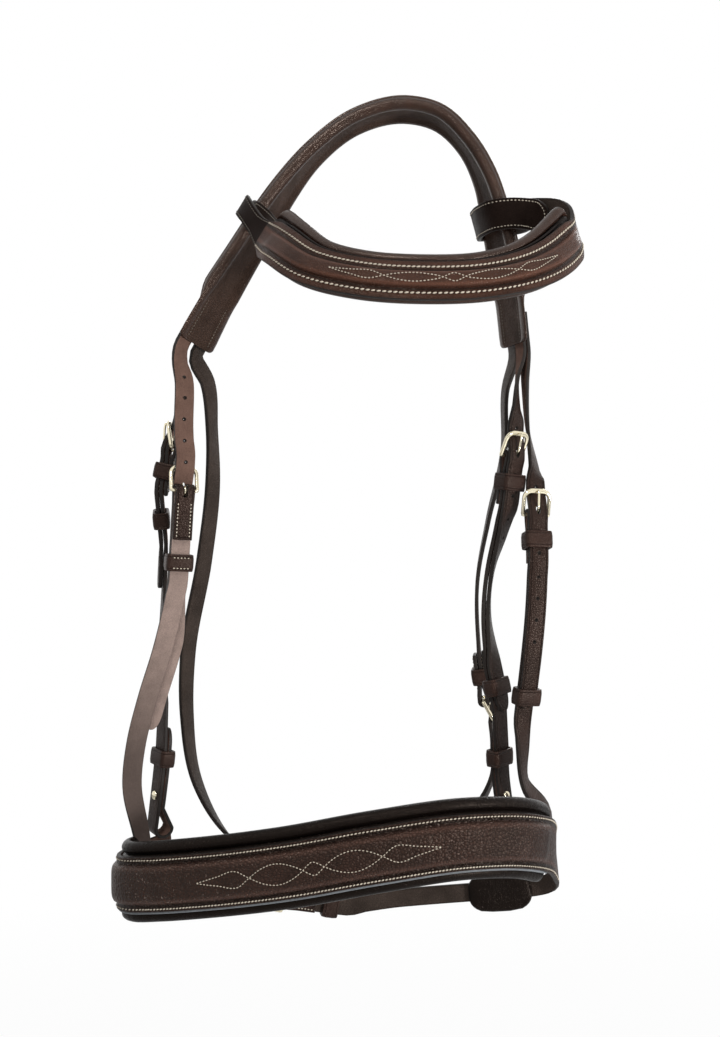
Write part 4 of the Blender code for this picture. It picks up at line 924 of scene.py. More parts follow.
def leather_material(name, colour, pebble=0.0011, depth=0.5, bump=0.00016, roughness=0.42, light=1.45,
                     lines=0.35, groove=None, edge_dark=0.55, wrinkles=0.0, gloss=LEATHER_GLOSS, painted_light_bands=()):
    """Grain leather with a pressed line, bands and folds where they are wanted.

    A groove is the flat measure it is read from, its place and its width. A band, painted shade where it is
    darker and a painted highlight where it is lighter, is its place and width across, how light it is and
    how strong.
    """
    made, tree, shader = start_material(name)
    where = tree.node("ShaderNodeTexCoord").outputs["Object"]
    flat, measure = flat_measures(tree)
    grain = placed(tree, "leather_grain", build_grain,
                   {"Vector": where, "Pebble Size": pebble, "Pebble Depth": depth})
    tone = tree.mix(grain["Tone"], shaded(colour, 0.72), shaded(colour, light))
    tone = tree.mix(tree.math("MULTIPLY", grain["Lines"], lines), tone, shaded(colour, 0.35))
    edge = tree.stretch(measure["Z"], 0.0002, 0.0016, edge_dark, 0.0)
    tone = tree.mix(edge, tone, shaded(colour, 0.30))
    height = grain["Height"]
    if groove is not None:
        axis, place, width = groove
        away = measure["Z"] if axis == "Z" else tree.math("ABSOLUTE", measure[axis])
        line = pressed_line(tree, away, place, width)
        height = tree.math("SUBTRACT", height, tree.math("MULTIPLY", line, 2.4))
        tone = tree.mix(tree.math("MULTIPLY", line, 0.55), tone, shaded(colour, 0.3))
    # Painted shade and painted highlight in bands beside a raise
    for place, width, light_share, strength in painted_light_bands:
        line = pressed_line(tree, tree.math("ABSOLUTE", measure["Y"]), place, width)
        tone = tree.mix(tree.math("MULTIPLY", line, strength), tone, shaded(colour, light_share))
    if wrinkles > 0:
        folds = placed(tree, "roll_folds", build_wrinkle, {"Vector": flat})["Height"]
        height = tree.math("ADD", height, tree.math("MULTIPLY", folds, wrinkles))
    rubbed = tree.stretch(grain["Tone"], 0.0, 1.0, roughness + 0.08, roughness - 0.08)
    end_material(tree, shader, tone, height, (bump, 1.0), rubbed, gloss)
    shader.inputs["Specular Tint"].default_value = LEATHER_SHEEN_TINT
    return made


def flesh_material(name, colour, darkening=None):
    """A strap's rough inner side, made darker towards one end where that is wanted."""
    made, tree, shader = start_material(name)
    where = tree.node("ShaderNodeTexCoord").outputs["Object"]
    nap = placed(tree, "flesh_nap", build_fibre, {"Vector": where})
    tone = tree.mix(nap["Tone"], shaded(colour, 0.68), shaded(colour, 1.3))
    if darkening is not None:
        begins, full, dark, strength = darkening
        along = flat_measures(tree)[1]["X"]
        tone = tree.mix(tree.stretch(along, begins, full, 0.0, strength), tone, shaded(colour, dark))
    rubbed = tree.stretch(nap["Tone"], 0.0, 1.0, 0.86, 0.72)
    end_material(tree, shader, tone, nap["Height"], (0.00035, 0.9), rubbed, FLESH_GLOSS)
    return made


def edge_material(name, colour, light=1.5):
    """A strap's cut and dressed edge: stained, waxed and a little uneven."""
    made, tree, shader = start_material(name)
    where = tree.node("ShaderNodeTexCoord").outputs["Object"]
    nap = placed(tree, "flesh_nap", build_fibre, {"Vector": where})
    tone = tree.mix(nap["Tone"], shaded(colour, 0.7), shaded(colour, light))
    rubbed = tree.stretch(nap["Tone"], 0.0, 1.0, 0.5, 0.36)
    end_material(tree, shader, tone, nap["Height"], (0.00008, 0.7), rubbed, LEATHER_GLOSS)
    return made


def thread_material(name, colour):
    """Twisted thread, paler on its turns and a little soiled in places."""
    made, tree, shader = start_material(name)
    where = tree.node("ShaderNodeTexCoord").outputs
    turns = placed(tree, "thread_twist", build_twist, {"Vector": where["UV"]})["Height"]
    soil = tree.noise(where["Object"], 90.0, 3.0)
    tone = tree.mix(tree.math("MULTIPLY", turns, 0.6), shaded(colour, 0.62), colour)
    tone = tree.mix(tree.stretch(soil, 0.5, 0.75, 0.0, 0.5), tone, shaded(colour, 0.5))
    worn = tree.stretch(soil, 0.3, 0.7, 0.55, 0.72)
    end_material(tree, shader, tone, turns, (0.00012, 0.8), worn)
    return made


def metal_material(name, colour):
    """Cast and polished metal with handling marks."""
    made, tree, shader = start_material(name)
    where = tree.node("ShaderNodeTexCoord").outputs["Object"]
    marks = placed(tree, "handling_marks", build_tarnish, {"Vector": where})
    tone = tree.mix(tree.math("MULTIPLY", marks["Film"], 0.45), colour, shaded(colour, 0.66))
    dulled = tree.stretch(marks["Film"], 0.0, 1.0, 0.20, 0.34)
    end_material(tree, shader, tone, marks["Scratches"], (0.00003, 0.5), dulled)
    shader.inputs["Metallic"].default_value = 1.0
    return made


def beside_raise(width, painted_light_bands):
    """Painted shade and highlight bands, placed across from the middle of a raise of a given width."""
    return tuple((width / 2 + past, *rest) for past, *rest in painted_light_bands)


def finish(name):
    """A finish by name, built from the panel's colours the first time it is wanted."""
    if name in bpy.data.materials:
        return bpy.data.materials[name]
    tints = bpy.context.scene.bridle_colours
    recipes = {
        "strap_grain": lambda: leather_material(
            name, tints.strap, pebble=0.0013, depth=0.7, bump=0.00028, roughness=0.38, lines=0.5,
            groove=("Z", 0.0016, 0.0004), light=1.7, gloss=0.20),
        "strap_flesh": lambda: flesh_material(name, tints.flesh),
        # Painted sheen: a paler copy of the strap flesh, as where it is lit
        "pale_flesh": lambda: flesh_material(name, tints.pale_flesh),
        "stained_flesh": lambda: flesh_material(name, tints.pale_flesh, HANGER_DARKENING),
        "smooth_flesh": lambda: leather_material(
            name, tints.smooth_flesh, pebble=0.0014, depth=0.7, bump=0.00026, light=1.5, gloss=0.12),
        "strap_edge": lambda: edge_material(name, tints.edge),
        "front_grain": lambda: leather_material(
            name, tints.front, pebble=0.0013, depth=0.8, bump=0.00026, groove=("Y", BROW_ROW_PLACE, 0.0008),
            light=1.6, roughness=0.34, gloss=0.20, painted_light_bands=beside_raise(BROW_RAISE_WIDTH, BROW_SHADE_AND_HIGHLIGHT_BANDS)),
        "nose_grain": lambda: leather_material(
            name, tints.nose, pebble=0.0020, depth=1.0, bump=0.00055, groove=("Y", NOSE_ROW_PLACE, 0.0009),
            light=1.8, roughness=0.29, lines=0.55, gloss=0.26,
            painted_light_bands=beside_raise(NOSE_RAISE_WIDTH, NOSE_SHADE_AND_HIGHLIGHT_BANDS)),
        # Painted shade: a very dark leather for the browband's sewn loop ends
        "patch_grain": lambda: leather_material(
            name, tints.patch, pebble=0.0012, depth=0.5, light=1.5, edge_dark=0.3, roughness=0.5,
            gloss=0.06),
        # Painted highlight: a pale grey-blue for the strip along the noseband leather's lower edge
        "panel_edge": lambda: edge_material(name, tints.panel_edge),
        "front_roll_grain": lambda: leather_material(
            name, shaded(tints.front, 0.45), pebble=0.0011, depth=0.35, bump=0.00014, roughness=0.22,
            wrinkles=1.0, light=1.6, edge_dark=0.0, gloss=0.45),
        "roll_grain": lambda: leather_material(
            name, tints.roll, pebble=0.0013, depth=0.35, bump=0.0002, roughness=0.28, wrinkles=1.6,
            light=1.7, edge_dark=0.0, gloss=0.11),
        "lining_grain": lambda: leather_material(
            name, tints.lining, pebble=0.0014, depth=0.9, bump=0.0003, roughness=0.50, light=1.5,
            edge_dark=0.0, wrinkles=1.6, lines=0.5, gloss=0.06),
        "crown_grain": lambda: leather_material(
            name, tints.crown, pebble=0.0010, depth=0.4, groove=("Z", 0.0026, 0.0006), light=1.5),
        "keeper_grain": lambda: leather_material(
            name, tints.keeper, pebble=0.0010, depth=0.5, roughness=0.36, light=1.7,
            groove=("Y", KEEPER_WIDTH / 2 - 0.0016, 0.0004), edge_dark=0.0, gloss=0.22),
        # Thread at 0.30 of its colour, darker, for the lining's rows and the left patch's rows
        "soiled_thread": lambda: thread_material(name, shaded(tints.thread, 0.30)),
        "thread": lambda: thread_material(name, tints.thread),
        "metal": lambda: metal_material(name, tints.metal),
    }
    return recipes[name]()


# Making and dressing pieces

def to_mesh(name, bm):
    mesh = bpy.data.meshes.new(name)
    bm.to_mesh(mesh)
    bm.free()
    return mesh


def add_to_scene(name, data):
    made = bpy.data.objects.new(name, data)
    bpy.context.scene.collection.objects.link(made)
    return made


def add_smooth(name, bm, finishes, body=LEATHERWORK):
    """Adds a smooth mesh, with its finishes, that rides on its body."""
    mesh = to_mesh(name, bm)
    mesh.shade_smooth()
    for label in finishes:
        mesh.materials.append(finish(label))
    made = add_to_scene(name, mesh)
    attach(made, body)
    return made


def add_piece(name, bm, finishes, body=LEATHERWORK, stands_for=None, sharp=40.0):
    """Turns a closed mesh's faces outwards, and adds it as a piece that rides on its body."""
    bmesh.ops.recalc_face_normals(bm, faces=bm.faces)
    if bm.calc_volume(signed=True) < 0:
        bmesh.ops.reverse_faces(bm, faces=bm.faces)
    made = add_smooth(name, bm, finishes, body)
    made.data.set_sharp_from_angle(angle=math.radians(sharp))
    if stands_for:
        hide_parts(stands_for)
    return made


def grid(rows, columns):
    """A flat sheet of rows by columns of vertices, and its vertices as a table."""
    bm = bmesh.new()
    bm.verts.layers.float_vector.new("flat")
    bmesh.ops.create_grid(bm, x_segments=columns - 1, y_segments=rows - 1, size=1.0)
    bm.verts.ensure_lookup_table()
    table = [[bm.verts[row * columns + column] for column in range(columns)] for row in range(rows)]
    return bm, table


def roll_sheet(rows, closed_rows, measures=None):
    """A sheet rolled into a tube, from rows of points; the tube's ends are capped or joined."""
    count = len(rows[0])
    total = len(rows) + (1 if closed_rows else 0)
    bm, table = grid(total, count + 1)
    flat = bm.verts.layers.float_vector["flat"]
    for i, row in enumerate(table):
        points = rows[i % len(rows)]
        for j, vertex in enumerate(row):
            vertex.co = points[j % count]
            if measures:
                vertex[flat] = measures[i % len(rows)][j % count]
    bmesh.ops.remove_doubles(bm, verts=bm.verts, dist=TINY)
    if not closed_rows:
        bmesh.ops.holes_fill(bm, edges=[e for e in bm.edges if e.is_boundary], sides=count)
    return bm


def cut_strap(lay, columns, width_share, holes=(), slots=()):
    """A flat strap with round holes on its middle line and slots cut out of its middle cell."""
    bm, table = grid(len(lay.at), len(columns))
    for row, u in zip(table, lay.at):
        for vertex, across in zip(row, columns):
            vertex.co = Vector((u, across * width_share(u), 0.0))
    doomed = []
    for start, end in slots:
        for face in bm.faces:
            centre = face.calc_center_median()
            if start < centre.x < end and abs(centre.y) < TINY:
                doomed.append(face)
    if doomed:
        bmesh.ops.delete(bm, geom=doomed, context="FACES")
    for place, half_length, half_width in holes:
        centre = min(bm.verts, key=lambda vertex: (vertex.co - Vector((place, 0.0, 0.0))).length)
        spot = centre.co.copy()
        corners = {v for face in centre.link_faces for v in face.verts}
        near = {edge.other_vert(centre) for edge in centre.link_edges}
        for corner in corners - near - {centre}:
            bmesh.ops.connect_verts(bm, verts=[centre, corner])
        made = bmesh.ops.bevel(bm, geom=[centre], offset=half_width, affect="VERTICES",
                               segments=1, profile=0.5, material=-1)
        rim = {edge for vertex in made["verts"] for edge in vertex.link_edges
               if all(v in made["verts"] for v in edge.verts)}
        bmesh.ops.subdivide_edges(bm, edges=list(rim), cuts=1)
        ring = {vertex for vertex in bm.verts if (vertex.co - spot).length < half_width * PUNCH_MARGIN}
        inner = [face for face in bm.faces if all(v in ring for v in face.verts)]
        bmesh.ops.delete(bm, geom=inner, context="FACES")
        for vertex in ring:
            reach = vertex.co - spot
            turn = math.atan2(reach.y, reach.x)
            vertex.co = spot + Vector((half_length * math.cos(turn), half_width * math.sin(turn), 0.0))
    return bm


def thicken(bm, thickness, width_share, half, rounding):
    """Gives flat leather its thickness, rounds its outline and marks grain, flesh and edge."""
    made = bmesh.ops.extrude_face_region(bm, geom=bm.faces[:], use_keep_orig=True)
    for item in made["geom"]:
        if isinstance(item, bmesh.types.BMVert):
            item.co.z = thickness
    bmesh.ops.recalc_face_normals(bm, faces=bm.faces)
    bm.normal_update()

    def on_outline(vertex):
        return abs(vertex.co.y) > half * width_share(vertex.co.x) - TINY * 20 or vertex.co.x in ends

    xs = [vertex.co.x for vertex in bm.verts]
    ends = (min(xs), max(xs))
    rims = [edge for edge in bm.edges if edge.is_manifold and edge.calc_face_angle() > RIM_ANGLE
            and all(on_outline(v) for v in edge.verts)
            and abs(edge.verts[0].co.z - edge.verts[1].co.z) < TINY]
    bmesh.ops.bevel(bm, geom=rims, offset=rounding, affect="EDGES", segments=2, profile=0.5, material=-1)
    bm.normal_update()
    flat = bm.verts.layers.float_vector["flat"]
    for face in bm.faces:
        rise = face.normal.z
        face.material_index = 0 if rise > SLOPE_LIMIT else 1 if rise < -SLOPE_LIMIT else 2
    for vertex in bm.verts:
        edge_distance = min(half * width_share(vertex.co.x) - abs(vertex.co.y),
                            vertex.co.x - ends[0], ends[1] - vertex.co.x)
        vertex[flat] = Vector((vertex.co.x, vertex.co.y, max(edge_distance, 0.0)))


def pinch_holes(bm, spots):
    """Draws the walls of punched holes in at their middle, as the fibres close after the punch."""
    near = HOLE_SHOWN_RADIUS * 1.1

    def beside(vertex):
        return next((u for u in spots if math.hypot(vertex.co.x - u, vertex.co.y) < near), None)

    walls = [edge for edge in bm.edges if abs(edge.verts[0].co.z - edge.verts[1].co.z) > STRAP_THICK / 2
             and beside(edge.verts[0]) is not None]
    made = bmesh.ops.subdivide_edges(bm, edges=walls, cuts=1)
    for vertex in (item for item in made["geom_inner"] if isinstance(item, bmesh.types.BMVert)):
        centre = beside(vertex)
        vertex.co.x = centre + (vertex.co.x - centre) * HOLE_PINCH
        vertex.co.y *= HOLE_PINCH


def lay_down(bm, lay, route, drift=None, raised=None):
    """Lays thick flat leather over its route."""
    for vertex in bm.verts:
        u, across, thick = vertex.co
        s, h = lay.read(u, thick)
        if raised and thick > 0:
            h += raised(u, across) * min(thick / BROW_LEATHER_THICK, 1.0)
        vertex.co = route.place(s, across + (drift(s) if drift else 0.0), h)


def plain(_):
    """Share of the full width along a strap with square ends."""
    return 1.0


def tip_width(length, at_start, at_end):
    """Share of the full width along a strap whose ends are cut to a rounded point."""
    def share(u):
        reach = min(u if at_start else TIP_LENGTH, length - u if at_end else TIP_LENGTH, TIP_LENGTH)
        along = max(reach, 0.0) / TIP_LENGTH
        return TIP_BLUNT + (1 - TIP_BLUNT) * math.sqrt(1 - (1 - along) ** 2)
    return share


def with_tip_rows(path, at_start, at_end):
    """Adds rows near a pointed end, so its outline is round."""
    for wanted, here, towards in ((at_start, 0, 1), (at_end, -1, -2)):
        if not wanted:
            continue
        a, b = np.array(path[here]), np.array(path[towards])
        way = (b - a) / np.linalg.norm(b - a)
        keep = [p for p in path if np.linalg.norm(np.array(p) - a) > TIP_LENGTH * 1.1]
        rows = [tuple(a + way * TIP_LENGTH * share) for share in TIP_ROW_SHARES]
        path = rows + keep if here == 0 else keep + rows[::-1]
    return path


def sew(bm, route, points, height, pitch, length, thick, slant=0.0, facing_out=1):
    """Sews a line of stitches along points of length along and across, at a height above the route."""
    line = np.array(points)
    at = run_lengths(line)
    count = max(1, int(round(at[-1] / pitch)))
    shape = stitch_shape()

    def spot(reach):
        s, across = (float(np.interp(reach, at, line[:, k])) for k in (0, 1))
        return s, across, height(s, across)

    for i in range(count):
        middle = at[-1] * (i + 0.5) / count
        here = spot(middle)
        way = (route.place(*spot(middle + pitch / 4)) - route.place(*spot(middle - pitch / 4))).normalized()
        out = route.frame(here[0])[3] * facing_out
        out = (out - way * out.dot(way)).normalized()
        way = Matrix.Rotation(slant, 3, out) @ way
        sides = (way.cross(out) * thick / 2, out * thick / 2 * STITCH_FLATNESS, way * length / 2)
        matrix = Matrix(sides).transposed().to_4x4()
        matrix.translation = route.place(*here) + out * thick * STITCH_STAND
        shape.transform(matrix)
        bm.from_mesh(shape)
        shape.transform(matrix.inverted())


def stitch_shape():
    """One stitch of unit size, to be copied along each row."""
    if "stitch" in bpy.data.meshes:
        return bpy.data.meshes["stitch"]
    bm = bmesh.new()
    bm.loops.layers.uv.new("turns")
    bmesh.ops.create_uvsphere(bm, u_segments=6, v_segments=5, radius=1.0, calc_uvs=True)
    return to_mesh("stitch", bm)


def stitches(kind):
    """Pitch, length and thickness of the bold, fine or strap stitches, from the panel."""
    sizes = bpy.context.scene.bridle_sizes
    return [getattr(sizes, f"{kind}_{part}") for part in ("pitch", "length", "thick")]


# Straps

def strap_finishes(flesh):
    """Finishes of a strap's grain side, flesh side and edges."""
    return "strap_grain", flesh, "strap_edge"


def billet_path(start, end, bar, hole_places):
    """Path of a billet from its sewn end, through the buckle, to its point."""
    marks = set(spaced(start, bar - BILLET_SETTLE, FINE_STATION)[:-1])
    marks |= set(spaced(bar - BILLET_SETTLE, bar + BILLET_REST, FINE_STATION / 2))
    marks |= {bar - RIM_REACH, bar}
    marks |= set(spaced(bar + BILLET_REST, end, FINE_STATION))
    flank = WORN_HOLE_HALF_LENGTH * HOLE_FLANK_SHARE
    for hole in hole_places:
        marks = {s for s in marks if abs(s - hole) > flank * HOLE_CLEAR_SHARE}
        marks |= {hole - flank, hole, hole + flank}
    marks = sorted(s for s in marks if start - TINY <= s <= end + TINY)
    marks = [s for s, before in zip(marks, [start - 1.0] + marks[:-1]) if s - before > TINY * 300]
    return [(s, billet_height(s, bar)) for s in marks]


def billet_holes(start, end, bar, before, after):
    """Places of a billet's holes along its route; the first is the one in use."""
    used = bar - PRONG_KNEE_REACH / 2
    found = [used]
    found += [used - RIM_REACH * HOLE_SETBACK_SHARE - HOLE_PITCH * i for i in range(1, before + 1)]
    found += [used + HOLE_PITCH * i for i in range(1, after + 1)]
    margin = TIP_LENGTH + HOLE_PITCH / 2
    return [hole for hole in found if start + margin < hole < end - margin or hole == used]


def make_billet(node, run, tail, before, after, drift=None, flesh="strap_flesh", tail_flesh=None):
    """A holed and pointed strap, whose tail past the hole in use may have a flesh of its own."""
    route, bar = RUNS[run]
    end = bar + tail
    hole_places = billet_holes(0.0, end, bar, before, after)
    path = with_tip_rows(billet_path(0.0, end, bar, hole_places), False, True)
    lay = Lay(path)
    holes = []
    for hole in hole_places:
        u = float(np.interp(hole, lay.path[:, 0], lay.at))
        worn = hole == hole_places[0]
        holes.append((u, WORN_HOLE_HALF_LENGTH, WORN_HOLE_HALF_WIDTH) if worn
                     else (u, HOLE_SHOWN_RADIUS, HOLE_SHOWN_RADIUS))
    share = tip_width(lay.length, False, True)
    bm = cut_strap(lay, (-STRAP_WIDTH / 2, 0.0, STRAP_WIDTH / 2), share, holes)
    thicken(bm, STRAP_THICK, share, STRAP_WIDTH / 2, EDGE_ROUND)
    pinch_holes(bm, [u for u, *_ in holes[1:]])
    worn, flat = holes[0][0], bm.verts.layers.float_vector["flat"]
    for face in bm.faces:
        if face.material_index == 1 and all(vertex[flat].x > worn for vertex in face.verts):
            face.material_index = 3
    lay_down(bm, lay, route, drift)
    return add_piece(f"cut_{node}", bm, strap_finishes(flesh) + (tail_flesh or flesh,),
                     stands_for=node)


def fold_path(bar, far_end, fold_length):
    """Path of a strap folded round a heel bar: in along the flesh side, round, and away."""
    inner = [(s, -LAYER_GAP) for s in spaced(bar + fold_length, bar + BILLET_REST, FINE_STATION)]
    slot_row = bar + FOLD_SLOT_REACH
    inner.append((slot_row, BAR_HEIGHT - BAR_CLEAR * FOLD_EASE_SHARE))
    arc = []
    for i in range(FOLD_STEPS + 1):
        turn = -math.pi / 2 - math.pi * i / FOLD_STEPS
        arc.append((bar + BAR_CLEAR * math.cos(turn), BAR_HEIGHT + BAR_CLEAR * math.sin(turn)))
    outer = [(slot_row, BAR_HEIGHT + BAR_CLEAR * FOLD_EASE_SHARE)]
    outer += [(s, 0.0) for s in spaced(bar + BILLET_REST, far_end, FINE_STATION)]
    return inner + arc + outer


def slot_span(lay, bar):
    """The stretch of a folded strap, about its bar, that the prong's slot takes."""
    at = [u for u, (s, _) in zip(lay.at, lay.path) if s < bar + FOLD_SLOT_REACH + TINY]
    return min(at), max(at)


def make_folded_strap(node, run, fold_length=FOLD_LENGTH, flesh="strap_flesh"):
    """A strap folded round its buckle's bar and running on to its other end."""
    route, bar = RUNS[run]
    lay = Lay(fold_path(bar, route.length, fold_length))
    bm = cut_strap(lay, SLOTTED_COLUMNS, plain, slots=[slot_span(lay, bar)])
    thicken(bm, STRAP_THICK, plain, STRAP_WIDTH / 2, EDGE_ROUND)
    lay_down(bm, lay, route)
    return add_piece(f"cut_{node}", bm, strap_finishes(flesh), stands_for=node)


def marks_round(start, end, spot, half):
    """Places from start to end with one cell of a set length round a spot."""
    low, high = min(start, end), max(start, end)
    marks = [s for s in spaced(low, high, FINE_STATION) if abs(s - spot) > half * CELL_CLEAR_SHARE]
    return sorted(marks + [spot - half, spot + half], reverse=start > end)


def make_cheekpiece(node, run):
    """A cheekpiece: folded at the buckle, down to the bit loop, and back up inside to its tip."""
    route, bar = RUNS[run]
    bottom = route.length
    stud = bottom - STUD_PLACE
    close = bottom - BIT_LOOP_RADIUS * BIT_CLOSE_RADII
    half = STUD_SHANK_RADIUS + KEEPER_SLACK
    path = [p for p in fold_path(bar, close, FOLD_LENGTH) if p[1] != 0.0]
    path += [(s, 0.0) for s in marks_round(bar + BILLET_REST, close, stud, half)]
    for i in range(FOLD_STEPS + 1):
        turn = math.pi / 2 - math.pi * i / FOLD_STEPS
        path.append((bottom - BIT_LOOP_RADIUS + BIT_LOOP_RADIUS * math.cos(turn),
                     -BIT_LOOP_RADIUS + BIT_LOOP_RADIUS * math.sin(turn)))
    path += [(s, -LAYER_GAP) for s in marks_round(close, bottom - BIT_TAIL_LENGTH, stud, half)]
    lay = Lay(with_tip_rows(path, False, True))
    spans = [slot_span(lay, bar)]
    for u0, u1 in zip(lay.at[:-1], lay.at[1:]):
        s = float(np.interp((u0 + u1) / 2, lay.at, lay.path[:, 0]))
        if abs(s - stud) < STUD_SHANK_RADIUS:
            spans.append((float(u0), float(u1)))
    share = tip_width(lay.length, False, True)
    bm = cut_strap(lay, SLOTTED_COLUMNS, share, slots=spans)
    thicken(bm, STRAP_THICK, share, STRAP_WIDTH / 2, EDGE_ROUND)
    lay_down(bm, lay, route)
    return add_piece(f"cut_{node}", bm, strap_finishes("strap_flesh"), stands_for=node)


# Keepers, buckles, prongs and studs

def make_keeper(node, run, s, low, across, high=None, body=LEATHERWORK):
    """A leather loop round a strap: a flat band with rounded edges and a slightly full face."""
    route = RUNS[run][0]
    high = STACK_HIGH if high is None else high
    half, corner = across / 2 + KEEPER_GAP, KEEPER_THICK * KEEPER_CORNER_SHARE
    low, high = low - KEEPER_GAP, high + KEEPER_GAP
    ring = []
    corners = ((half, high, 0), (-half, high, 1), (-half, low, 2), (half, low, 3))
    for t, h, quarter in corners:
        centre_t = t - math.copysign(corner, t)
        centre_h = h - corner if quarter < 2 else h + corner
        for i in range(KEEPER_CORNER_STEPS + 1):
            turn = (quarter + i / KEEPER_CORNER_STEPS) * math.pi / 2
            ring.append((centre_t, centre_h, math.cos(turn), math.sin(turn)))
    wide, round_off = KEEPER_WIDTH / 2, EDGE_ROUND * KEEPER_ROUND_SHARE
    ease = round_off * KEEPER_EASE_SHARE
    outer = [(wide, KEEPER_THICK - round_off), (wide - ease, KEEPER_THICK - ease),
             (wide - round_off, KEEPER_THICK), (wide * KEEPER_CROWN_SHARE, KEEPER_THICK + KEEPER_FULL)]
    section = [(-wide, round_off), (-wide + round_off, 0.0), (wide - round_off, 0.0), (wide, round_off)]
    section += outer + [(-along, deep) for along, deep in outer[::-1]]
    rows, measures, run_length = [], [], 0.0
    for index, (t, h, c, d) in enumerate(ring):
        t_before, h_before, c_before, d_before = ring[index - 1]
        run_length += math.hypot(t - t_before + (c - c_before) * corner,
                                 h - h_before + (d - d_before) * corner)
        rows.append([route.place(s + along, t + c * (corner + deep), h + d * (corner + deep))
                     for along, deep in section])
        measures.append([Vector((run_length, along, wide - abs(along))) for along, _ in section])
    bm = roll_sheet(rows, True, measures)
    return add_piece(f"cut_{node}", bm, ["keeper_grain"], body=body, stands_for=node)


def local_frame(route, bar):
    """Matrix whose X runs from the heel bar towards the rim, Y across and Z out."""
    point, along, side, out = route.frame(bar)
    matrix = Matrix((-along, -side, out)).transposed().to_4x4()
    matrix.translation = point + out * BAR_HEIGHT
    return matrix


def circle(count):
    """Cosine and sine of each of a count of even turns."""
    turns = [2 * math.pi * i / count for i in range(count)]
    return [(math.cos(turn), math.sin(turn)) for turn in turns]


def make_buckle(run):
    """A cast frame: round heel bar, straight sides, round shoulders and a broad rim."""
    route, bar = RUNS[run]
    half = BUCKLE_INNER_WIDTH / 2 + BUCKLE_RIM_RADIUS
    shoulder = BUCKLE_CORNER_RADIUS
    path, sizes = [], []
    for share in BAR_ROWS:
        path.append((0.0, half * share))
        sizes.append((BUCKLE_BAR_RADIUS, BUCKLE_BAR_RADIUS))
    side_start = BUCKLE_BAR_RADIUS * SIDE_START_SHARE
    for share in SIDE_ROWS:
        path.append(((BUCKLE_LENGTH - shoulder) * share + side_start * (1 - share), half))
        sizes.append((BUCKLE_RIM_RADIUS, BUCKLE_RIM_RADIUS))
    for i in range(1, SHOULDER_STEPS + 1):
        turn = math.pi / 2 * i / SHOULDER_STEPS
        path.append((BUCKLE_LENGTH - shoulder + shoulder * math.sin(turn),
                     half - shoulder + shoulder * math.cos(turn)))
        spread = 1 + RIM_SPREAD * smooth_step(i, 0, SHOULDER_STEPS)
        sizes.append((BUCKLE_RIM_RADIUS * spread, BUCKLE_RIM_RADIUS))
    path.append((BUCKLE_LENGTH, 0.0))
    sizes.append((BUCKLE_RIM_RADIUS * (1 + RIM_SPREAD), BUCKLE_RIM_RADIUS))
    path += [(x, -y) for x, y in path[-2:0:-1]]
    sizes += sizes[-2:0:-1]
    matrix = local_frame(route, bar) @ Matrix.Rotation(-BUCKLE_TILT, 4, "Y")
    rows = []
    for i, (x, y) in enumerate(path):
        ahead, behind = path[(i + 1) % len(path)], path[i - 1]
        way = Vector((ahead[0] - behind[0], ahead[1] - behind[1], 0.0)).normalized()
        side = Vector((way.y, -way.x, 0.0))
        wide, deep = sizes[i]
        rows.append([matrix @ (Vector((x, y, 0.0)) + side * (wide * c) + Vector((0.0, 0.0, deep * d)))
                     for c, d in circle(METAL_SIDES)])
    node = f"{run}_buckle"
    return add_piece(f"cast_{node}", roll_sheet(rows, True), ["metal"], body=node, stands_for=node)


def make_prong(run):
    """A prong: an eye bent round the heel bar, a rise through the hole, then on to the rim."""
    route, bar = RUNS[run]
    eye = BAR_CLEAR + PRONG_RADIUS
    knee_height = OVER_BAR + STRAP_THICK + PRONG_RADIUS + FIT_GAP - BAR_HEIGHT
    knee_height -= (OVER_BAR - UNDER_RIM) * PRONG_KNEE_REACH / RIM_REACH
    tip_reach = RIM_REACH + BUCKLE_RIM_RADIUS * PRONG_OVERHANG
    over_rim = (BUCKLE_RIM_RADIUS + FIT_GAP + PRONG_RADIUS) / math.cos(BUCKLE_TILT)
    tip_height = RIM_HEIGHT - BAR_HEIGHT + over_rim
    rough = []
    for i in range(PRONG_EYE_STEPS):
        turn = PRONG_LEAVE + PRONG_EYE_GAP + PRONG_EYE_TURN * (1 - i / PRONG_EYE_STEPS)
        rough.append((eye * math.cos(turn), eye * math.sin(turn)))
    rough.append((eye * math.cos(PRONG_LEAVE), eye * math.sin(PRONG_LEAVE)))
    rough.append((PRONG_KNEE_REACH * PRONG_RISE[0], (rough[-1][1] + knee_height) * PRONG_RISE[1]))
    rough.append((PRONG_KNEE_REACH, knee_height))
    rough.append((PRONG_KNEE_REACH * PRONG_CREST[0], knee_height + PRONG_RADIUS * PRONG_CREST[1]))
    rough.append((tip_reach - PRONG_RADIUS * PRONG_NOSE[0], tip_height + PRONG_RADIUS * PRONG_NOSE[1]))
    rough.append((tip_reach, tip_height - PRONG_RADIUS * PRONG_TIP_DIP))
    points = np.array(rough)
    knots = run_lengths(points)
    path = hermite(knots, points, np.linspace(0.0, knots[-1], PRONG_STEPS))
    matrix = local_frame(route, bar)
    rows = []
    for i, (x, z) in enumerate(path):
        ahead, behind = path[min(i + 1, len(path) - 1)], path[max(i - 1, 0)]
        way = Vector((ahead[0] - behind[0], 0.0, ahead[1] - behind[1])).normalized()
        up = Vector((-way.z, 0.0, way.x))
        left = len(path) - 1 - i
        radius = PRONG_RADIUS * (PRONG_TIP_ROWS + (1.0,))[min(left, len(PRONG_TIP_ROWS))]
        rows.append([matrix @ (Vector((x, radius * c, z)) + up * (radius * d))
                     for c, d in circle(METAL_SIDES)])
    node = f"{run}_prong"
    return add_piece(f"cast_{node}", roll_sheet(rows, False), ["metal"], body=node, stands_for=node)


